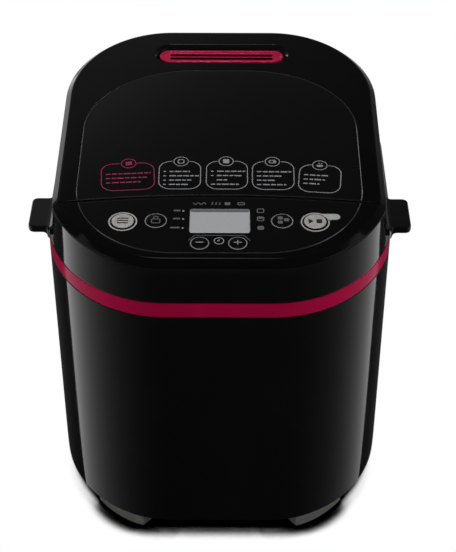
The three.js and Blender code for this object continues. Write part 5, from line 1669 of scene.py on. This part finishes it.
    def vent(self) -> None:
        """The crimson grille in the recess: a dished plate with two long slots."""
        length, width, y = self.vent_size()
        base = -self.vent_depth + 0.3 * MM
        width, y = width - 2.4 * MM, y - 1.0 * MM
        steps = ((0.0, 0.0), (0.0, 1.5), (0.25, 2.05), (0.8, 2.35), (1.5, 2.4), (2.2, 2.2), (2.9, 1.5),
                 (3.4, 1.2))
        form = Form.skin(PLANE.lift(stadium(length - 2 * g * MM, width - 2 * g * MM, y), base + z * MM)
                         for g, z in steps)
        cutters = Form()
        # The slots' cut walls take the near-black crimson: painted shade inside the slots.
        for side in (-1, 1):
            slot = stadium(length - 17.6 * MM, 3.4 * MM, y + side * 2.4 * MM, 5)
            cutters.loft([PLANE.lift(slot, z * MM) for z in (-9.0, 3.0)], slot=1)
        piece("steam_grille", form, [self.paints.gloss_crimson, self.paints.crimson_painted_shade], "lid",
              "accent_plastic", ["vent_insert"], cutters=cutters)


# -------- baking chamber and pan


@dataclass
class Oven:
    """The baking chamber and its heater."""

    paints: Paints
    sheet: float = 1.2
    inside: Triple = (90.0, 95.0, 46.0)
    floor_edge: float = 8.0
    bead: tuple[Pair, ...] = ((0, 236), (0, 222), (-0.9, 219.5), (-1.3, 216), (-0.9, 212.5), (0, 210),
                              (0, 120))

    def build(self) -> None:
        """Builds the chamber and the heater."""
        self.chamber()
        self.heater()

    def loop(self, grow: float) -> Array:
        """The chamber's inner outline let out by some millimetres."""
        half_x, half_y, corner = (v + grow for v in self.inside)
        return box_mm(half_x, half_y, corner, 14, place=CHAMBER)

    def chamber(self) -> None:
        """The pressed chamber: floor with a round edge, walls with a bead, and the flange on the deck."""
        low = node_box("baking_chamber")[0][2]
        floor, outside = low + self.sheet * MM, self.sheet
        wide = box_mm(102, 101, 52, 14, place=CHAMBER)
        flange = box_mm(101.6, 100.6, 51.6, 14, place=CHAMBER)
        rings = [at_height(self.loop(grow), z) for grow, z in
                 ((-6.8, low), (-1.4, low + 1.6 * MM), (outside, low + 8 * MM), (outside, 0.2))]
        rings += [PLANE.lift(loop, z * MM) for loop, z in
                  ((self.loop(outside), -22.2), (wide, -22.2), (wide, -21.2), (flange, -21.0),
                   (self.loop(2.4), -21.0), (self.loop(0.6), -21.4), (self.loop(0.0), -22.6))]
        rings += [at_height(self.loop(grow), z * MM) for grow, z in self.bead]
        rings += [at_height(self.loop(-run), floor + (self.floor_edge - rise) * MM)
                  for run, rise in quarter(self.floor_edge, self.floor_edge, 6)]
        piece("oven_chamber", Form.skin(rings), [self.paints.sheet], "housing", "steel",
              ["baking_chamber"], sharp=45)

    def heater(self) -> None:
        """The heater: one tube in through the front wall, once round the pan, and out again."""
        low, high = node_box("heating_element")
        radius = float(high[2] - low[2]) / 2
        half_x, back = float(high[0]) - radius, float(high[1]) - radius
        front = 2 * CHAMBER[1] - back
        loop = rounded(half_x, (back - front) / 2, 36 * MM, 16, CHAMBER)
        leg = 16 * MM
        bend = np.array([[0, -4], [0.8, -1.5], [2.4, -0.3], [5, 0]]) * MM + [leg, front]
        right_end = np.vstack([[[leg, float(low[1]) + radius]], bend])
        path = np.vstack([right_end, loop, right_end[::-1] * [-1, 1]])
        form = Form()
        form.tube(at_height(path, (low[2] + high[2]) / 2), radius * 0.98, 14)
        piece("heater_tube", form, [self.paints.steel], "housing", "steel", ["heating_element"], sharp=60)


@dataclass
class Pan:
    """The bread pan with its bail, and the paddle in it."""

    paints: Paints
    size: Triple = (72.0, 80.0, 34.0)
    floor: float = 84 * MM
    sheet: float = 1.6
    floor_edge: float = 6.0
    rib_depth: float = 0.5
    bail_radius: float = 2.2 * MM
    bail_bend: float = 26 * MM
    rim: tuple[Pair, ...] = ((0.0, 232.6), (1.2, 232.4), (2.6, 232.6), (3.7, 233.5), (4.0, 234.4),
                             (3.6, 235.4),
                             (2.4, 236.0), (0.8, 236.0), (-0.6, 235.6), (-1.5, 234.6), (-1.6, 233.0))
    hub: tuple[Pair, ...] = ((0.0, 18.4), (4.9, 18.4), (4.9, 0.0), (8.2, 0.0), (9.0, 0.8), (8.6, 16.0),
                             (7.6, 20.0), (6.0, 21.6), (3.5, 22.0), (0.0, 22.0))

    def build(self) -> None:
        """Builds pan, bail and paddle."""
        self.pan()
        self.bail()
        self.paddle()

    def loop(self, grow: float) -> Array:
        """The pan's outline let out by some millimetres."""
        half_x, half_y, corner = (v + grow for v in self.size)
        return box_mm(half_x, half_y, corner, 14, place=CHAMBER)

    def pan(self) -> None:
        """The coated pan: rolled rim, pressed ribs on its walls, round floor edge, foot and ears."""
        low, high = (float(corner[2]) for corner in node_box("bread_pan"))
        edge = quarter(self.floor_edge, self.floor_edge, 5)
        ribs = [(z, -self.rib_depth if 0.1 < z < 0.215 and i % 4 in (1, 2) else 0.0)
                for i, z in enumerate(np.arange(0.096, 0.226, 0.005))]
        rings = [at_height(self.loop(-run), self.floor + (self.floor_edge - rise) * MM) for run,
                 rise in edge[::-1]]
        rings += [at_height(self.loop(grow), z) for z, grow in ribs]
        rings += [at_height(self.loop(grow), z * MM) for grow, z in self.rim]
        rings += [at_height(self.loop(grow - self.sheet), z) for z, grow in ribs[::-1]]
        rings += [at_height(self.loop(-self.sheet - run),
                            self.floor + (self.floor_edge + self.sheet - rise) * MM) for run, rise in edge]
        form = Form.skin(rings)
        x, y = CHAMBER
        foot_high = self.floor / MM + 0.4
        form.turn([(35, low / MM), (38, low / MM), (38, foot_high), (35, foot_high)], (x, y, 0), 64)
        ear = rounded(6 * MM, 8 * MM, 3 * MM, 5) + [y, high - 8.2 * MM]
        for side in (-1, 1):
            form.loft([along(ear, side * away * MM) for away in (73.2, 78.2, 78.5)])
        piece("baking_pan", form, [self.paints.coating], "pan", "coated_aluminium", ["bread_pan"], sharp=45)

    def bail(self) -> None:
        """The wire bail, folded down beside the rim."""
        low, high = node_box("pan_bail")
        bend = self.bail_bend
        half_x, back = float(high[0]) - self.bail_radius, float(high[1]) - self.bail_radius
        angle = np.linspace(0, np.pi / 2, 16)
        corner = columns([half_x - bend + bend * np.cos(angle), back - bend + bend * np.sin(angle)])
        hook = np.array([[-5.2, 0], [-1.6, 0], [-0.4, 0.5], [0, 2]]) * MM + [half_x, CHAMBER[1]]
        form = Form()
        form.tube(at_height(mirrored(np.vstack([hook, corner])), (low[2] + high[2]) / 2), self.bail_radius,
                  12)
        piece("wire_bail", form, [self.paints.steel], "bail", "steel", ["pan_bail"], sharp=60)

    def paddle(self) -> None:
        """The kneading paddle: a domed hub and a blade that thins towards its edge.

        Formula: upright round-cornered sections along x whose height and thickness follow smooth curves.
        """
        low, high = node_box("kneading_paddle")
        base, tip = float(low[2]), float(high[0])
        x, y = CHAMBER
        start = 3 * MM
        share = np.linspace(0, 1, 22)
        reach = start + share * (tip - start)
        height = (19 + 14.5 * np.sin(np.clip(share * 1.25, 0, 1) * np.pi * 0.62)) * MM
        height *= np.sqrt(np.clip(1 - np.clip((share - 0.72) / 0.285, 0, 1) ** 2.2, 0.02, 1))
        thick = (4.9 - 2.1 * share) * MM
        form = Form.skin(along(rounded(t / 2, h / 2, min(t, h) * 0.48, 5, (y, base + h / 2)), x + r)
                         for r, h, t in zip(reach, height, thick))
        form.turn(self.hub, (x, y, base), 40)
        piece("dough_paddle", form, [self.paints.coating], "paddle", "coated_aluminium",
              ["kneading_paddle"], sharp=45)


@dataclass
class Screws:
    """Pan-head screws with a cross recess, in place of the plain ones of the frame."""

    paints: Paints
    shank: float = 1.7
    head: tuple[Pair, ...] = ((3.4, -1.6), (3.4, -1.0), (2.9, -0.35), (1.9, -0.06), (0.0, 0.0))
    cross: Pair = (2.1, 0.35)

    def build(self) -> None:
        """Builds a head and shank for each screw node."""
        for body, nodes in frame["record"]["behaviour"]["bodies"].items():
            for node in (node for node in nodes if "screw" in node):
                self.screw(node, body)

    def screw(self, node: str, body: str) -> None:
        """A screw that fills its node's box, with its head down except in the chamber.

        Args:
            node: The node that it stands for.
            body: The body that it moves with.
        """
        low, high = node_box(node)
        x, y = (low[0] + high[0]) / 2, (low[1] + high[1]) / 2
        length = float(high[2] - low[2])
        top = length / MM
        form, cutters = Form(), Form()
        form.turn([(0.0, 0.0), (self.shank, 0.0), (self.shank, top + self.head[0][1]),
                   *((r, top + z) for r, z in self.head)], (0, 0, 0), 28)
        far, near = self.cross
        bar = np.array([[-far, -near], [far, -near], [far, near], [-far, near]]) * MM
        for outline in (bar, bar[:, ::-1] * [1, -1]):
            cutters.loft([at_height(outline * s, length + z * MM) for s, z in ((0.45, -1.2), (1.0, 0.4))])
        for points in (*form.points, *cutters.points):
            if not node.startswith("chamber"):
                points[:, 1:] *= -1
                points[:, 2] += length
            points += [x, y, low[2]]
        piece(f"{node}_head", form, [self.paints.steel], body, "steel", [node], sharp=40, cutters=cutters)


# -------- frame nodes, stage, light


class Dressing:
    """Gives the frame's own nodes their finishes."""

    def __init__(self, paints: Paints) -> None:
        """Sets which finish each of the record's slots takes."""
        self.by_slot = {
            "casing_plastic": paints.black, "accent_plastic": paints.crimson,
            "dark_plastic": paints.satin_black,
            "silver_plastic": paints.silver, "clear_plastic": paints.ring, "display": paints.crystal,
            "rubber": paints.rubber, "steel": paints.steel, "aluminium": paints.aluminium,
            "coated_aluminium": paints.coating, "brass": paints.brass, "ceramic": paints.ceramic,
            "circuit_board": paints.board,
        }

    def build(self) -> None:
        """Puts a finish on every node of the frame."""
        for row in frame["record"]["subparts"]:
            node = frame["nodes"][row["node"]]
            finish = self.by_slot[row["material_slot"]]
            if not node.material_slots:
                node.data.materials.append(finish)
            for slot in node.material_slots:
                slot.material = finish


def looked_at(tree: bpy.types.NodeTree) -> Socket:
    """A value of 1 for rays of the camera, of mirrors and of glass, and 0 for all others.

    Args:
        tree: The node tree that uses it.

    Returns:
        The value.
    """
    path = tree.nodes.new("ShaderNodeLightPath")
    seen = path.outputs["Is Camera Ray"]
    for name in ("Is Glossy Ray", "Is Transmission Ray"):
        add = tree.nodes.new("ShaderNodeMath")
        add.operation = "ADD"
        add.use_clamp = True
        tree.links.new(seen, add.inputs[0])
        tree.links.new(path.outputs[name], add.inputs[1])
        seen = add.outputs[0]
    return seen


@dataclass(frozen=True)
class Fan:
    """How strongly a card on the floor glows: base + gain (angle / 120)^power, and dark past an end angle."""

    base: float
    gain: float
    power: float
    end: float
    dark: float = 0.04
    span: float = 120.0

    def level(self, angle: Array) -> Array:
        """The glow at each angle in degrees."""
        return np.where(angle > self.end, self.dark,
                        self.base + self.gain * (angle / self.span) ** self.power)


@dataclass
class Studio:
    """Floor, light and camera."""

    eye: Triple = (0.012, -1.081, 0.959)
    pitch: float = 36.95
    yaw: float = 0.10
    roll: float = 0.12
    sensor: float = 36.0
    lens: float = 104.2173913
    shift: Pair = (-0.00851449275, 0.00398550725)
    clip: Pair = (0.02, 20.0)
    ambient: float = 0.4
    floor_half: float = 12.0
    shadow_reach: float = 30 * MM
    shadow_lean: float = 0.8
    shadow_share: Pair = (0.49, 0.67)
    back_card: tuple[float, ...] = (0.42, 0.4, 0.2, 1.3)
    low_card: float = 6.0
    fans: tuple[Fan, Fan] = (Fan(0.26, 2.5, 2.0, 124.0), Fan(0.3, 1.3, 3.0, 131.0))
    fan_rise: Pair = (0.9, 2.0)
    fan_reach: float = 0.36
    wall_seen: float = 0.13

    def build(self) -> None:
        """Builds the studio."""
        self.floor()
        self.cards()
        self.world()
        for name, place, height, size, power in (("side_left", (-1.2, -0.5, 0.6), 0.16, (0.9, 1.1), 13.0),
                                                 ("side_right", (1.2, -0.45, 0.6), 0.16, (0.9, 1.1), 17.0),
                                                 ("above", (-0.1, 0.12, 2.2), 0.2, (0.5, 0.5), 22.0)):
            self.lamp(name, place, (0.0, 0.0, height), size, power)
        self.camera()
        bpy.context.scene.view_settings.view_transform = "Standard"

    def floor(self) -> None:
        """A pale floor: white to the eye, with the machine's own shadow close to its foot.

        Formula: the eye and mirrors see white times the share of open sky within a small reach. The sky
        is looked at about a direction that leans to the rear, so the shadow is widest in front.
        """
        form = Form()
        form.add(at_height(np.array([[-1, -1], [1, -1], [1, 1], [-1, 1]]) * self.floor_half, 0.0),
                 [[0, 1, 2, 3]])
        g = Graph("floor")
        g.set(Base_Color=g.mix(g.noise(30.0), grey(0.76), grey(0.8)), Roughness=0.9)
        sky = g.node("AmbientOcclusion", samples=48)
        sky.inputs["Distance"].default_value = self.shadow_reach
        way = g.node("CombineXYZ")
        way.inputs[1].default_value = math.sin(self.shadow_lean)
        way.inputs[2].default_value = math.cos(self.shadow_lean)
        g.link(way.outputs[0], sky.inputs["Normal"])
        share = g.spread(sky.outputs["AO"], 0.0, 1.0, *self.shadow_share)
        share.node.interpolation_type = "SMOOTHSTEP"
        blend = g.node("MixShader")
        for socket, source in enumerate((looked_at(g.tree), g.shader.outputs[0], g.glow(share))):
            g.link(source, blend.inputs[socket])
        g.link(blend.outputs[0], g.output.inputs["Surface"])
        raw("floor", form, [g.material])

    def cards(self) -> None:
        """Cards that only reflections see: two behind, and one round the front on the floor.

        Formula: the one high behind glows by floor + gain exp(-u / run), up to a ceiling, with
        u = x + 0.95 (z - 1.8). The one low on the left glows evenly.
        """
        x, z = np.meshgrid(np.linspace(-1.5, 1.5, 121), np.linspace(0.75, 3.15, 49))
        floor, gain, run, ceiling = self.back_card
        level = np.minimum(floor + gain * np.exp(-(x + 0.95 * (z - 1.8)) / run), ceiling)
        self.card("back_card", np.stack([x, np.full(x.shape, 2.0), z], axis=-1), level)
        low = np.array([[[-2.2, 1.9, z], [-0.6, 1.9, z]] for z in (0.05, 0.74)])
        self.card("low_card", low, np.full((2, 2), self.low_card))
        self.fan()

    def fan(self) -> None:
        """The card on the floor whose mirror image shades the curved wall.

        Formula: the line of sight to each point of the wall's outline is mirrored on the wall and followed
        down to the floor. Its glow depends on the angle between its way along the floor and straight ahead.
        """
        loop = CASING.whole(0.0)
        fine = np.linspace(0, len(loop), 6 * len(loop), endpoint=False)
        loop = columns([np.interp(fine, np.arange(len(loop) + 1), np.append(c, c[0])) for c in loop.T])
        ahead = np.roll(loop, -4, 0) - np.roll(loop, 4, 0)
        normal = columns([ahead[:, 1], -ahead[:, 0]]) / np.linalg.norm(ahead, axis=1)[:, None]
        normal *= np.sign((normal * loop).sum())
        away = at_height(loop, self.wall_seen) - self.eye
        facing = (away[:, :2] * normal).sum(1)
        away[:, :2] -= 2 * facing[:, None] * normal
        way = away[:, :2] / np.abs(away[:, 2:])
        angle = np.degrees(np.arctan2(way[:, 0], -way[:, 1]))
        for side, fan in zip((-1, 1), self.fans):
            seen = np.flatnonzero((facing < 0) & (angle * side > -2) & (loop[:, 1] < 0.08))
            seen = seen[np.argsort(angle[seen] * side)]
            inner = loop[seen] + normal[seen] * 0.5 * MM
            outer = inner + way[seen] * self.fan_reach
            level = fan.level(np.clip(angle[seen] * side, 0, None))
            self.card(f"fan_{side + 1}", [at_height(inner, 2 * MM), at_height(outer, 2 * MM)],
                      np.vstack([level * rise for rise in self.fan_rise]))

    @staticmethod
    def card(name: str, rows: Sequence[Array], level: Array) -> None:
        """Adds a card that only mirror rays see.

        Args:
            name: Its name.
            rows: Rows of its points.
            level: The glow of each point.
        """
        g = Graph(name)
        strength = g.node("Attribute", attribute_name="level").outputs["Fac"]
        g.link(g.glow(strength), g.output.inputs["Surface"])
        mesh = bpy.data.meshes.new(name)
        count = level.shape[1]
        faces = [(r + i, r + i + 1, r + count + i + 1, r + count + i)
                 for r in range(0, count * (len(rows) - 1), count) for i in range(count - 1)]
        mesh.from_pydata(np.vstack(list(rows)).tolist(), [], faces)
        mesh.materials.append(g.material)
        mesh.attributes.new("level", "FLOAT", "POINT").data.foreach_set("value", level.ravel())
        thing = link(name, mesh)
        for ray in ("camera", "diffuse", "transmission", "volume_scatter", "shadow"):
            setattr(thing, f"visible_{ray}", False)

    def world(self) -> None:
        """Even ambient light that looks white to the eye and in reflections."""
        world = bpy.data.worlds.new("studio")
        bpy.context.scene.world = world
        world.use_nodes = True
        tree = world.node_tree
        tree.nodes.clear()
        output = tree.nodes.new("ShaderNodeOutputWorld")
        background = tree.nodes.new("ShaderNodeBackground")
        level = tree.nodes.new("ShaderNodeMapRange")
        level.inputs["To Min"].default_value = self.ambient
        level.inputs["To Max"].default_value = 1.0
        tree.links.new(looked_at(tree), level.inputs["Value"])
        tree.links.new(level.outputs[0], background.inputs["Strength"])
        tree.links.new(background.outputs[0], output.inputs["Surface"])

    @staticmethod
    def lamp(name: str, place: Triple, target: Triple, size: Pair, power: float) -> None:
        """Adds a soft rectangular lamp.

        Args:
            name: Its name.
            place: Where it stands.
            target: What it faces.
            size: Its two sides.
            power: Its power in watts.
        """
        light = bpy.data.lights.new(name, "AREA")
        light.shape = "RECTANGLE"
        light.size, light.size_y = size
        light.energy = power
        thing = link(name, light)
        thing.location = place
        thing.rotation_euler = (Vector(target) - Vector(place)).to_track_quat("-Z", "Y").to_euler()

    def camera(self) -> None:
        """The camera at the angle of the view, with a small shift for its framing."""
        data = bpy.data.cameras.new("camera")
        camera = link("camera", data)
        bpy.context.scene.camera = camera
        data.sensor_fit = "VERTICAL"
        data.sensor_height = self.sensor
        data.lens = self.lens
        data.shift_x, data.shift_y = self.shift
        data.clip_start, data.clip_end = self.clip
        camera.location = self.eye
        turn = Euler((math.radians(90 - self.pitch), 0.0, math.radians(self.yaw)), "XYZ")
        tilt = Euler((0.0, 0.0, math.radians(self.roll)), "XYZ")
        camera.rotation_euler = (turn.to_matrix() @ tilt.to_matrix()).to_euler()


def main() -> None:
    """Builds the machine's looks in order, then the studio."""
    logging.basicConfig(level=logging.INFO, format="%(name)s %(message)s")
    paints = Paints()
    Dressing(paints).build()
    for assembly in (Casing, Console, Lid, Oven, Pan, Screws):
        assembly(paints).build()
        log.info("%s is built", assembly.__name__)
    Studio().build()


if __name__ == "__main__":
    main()
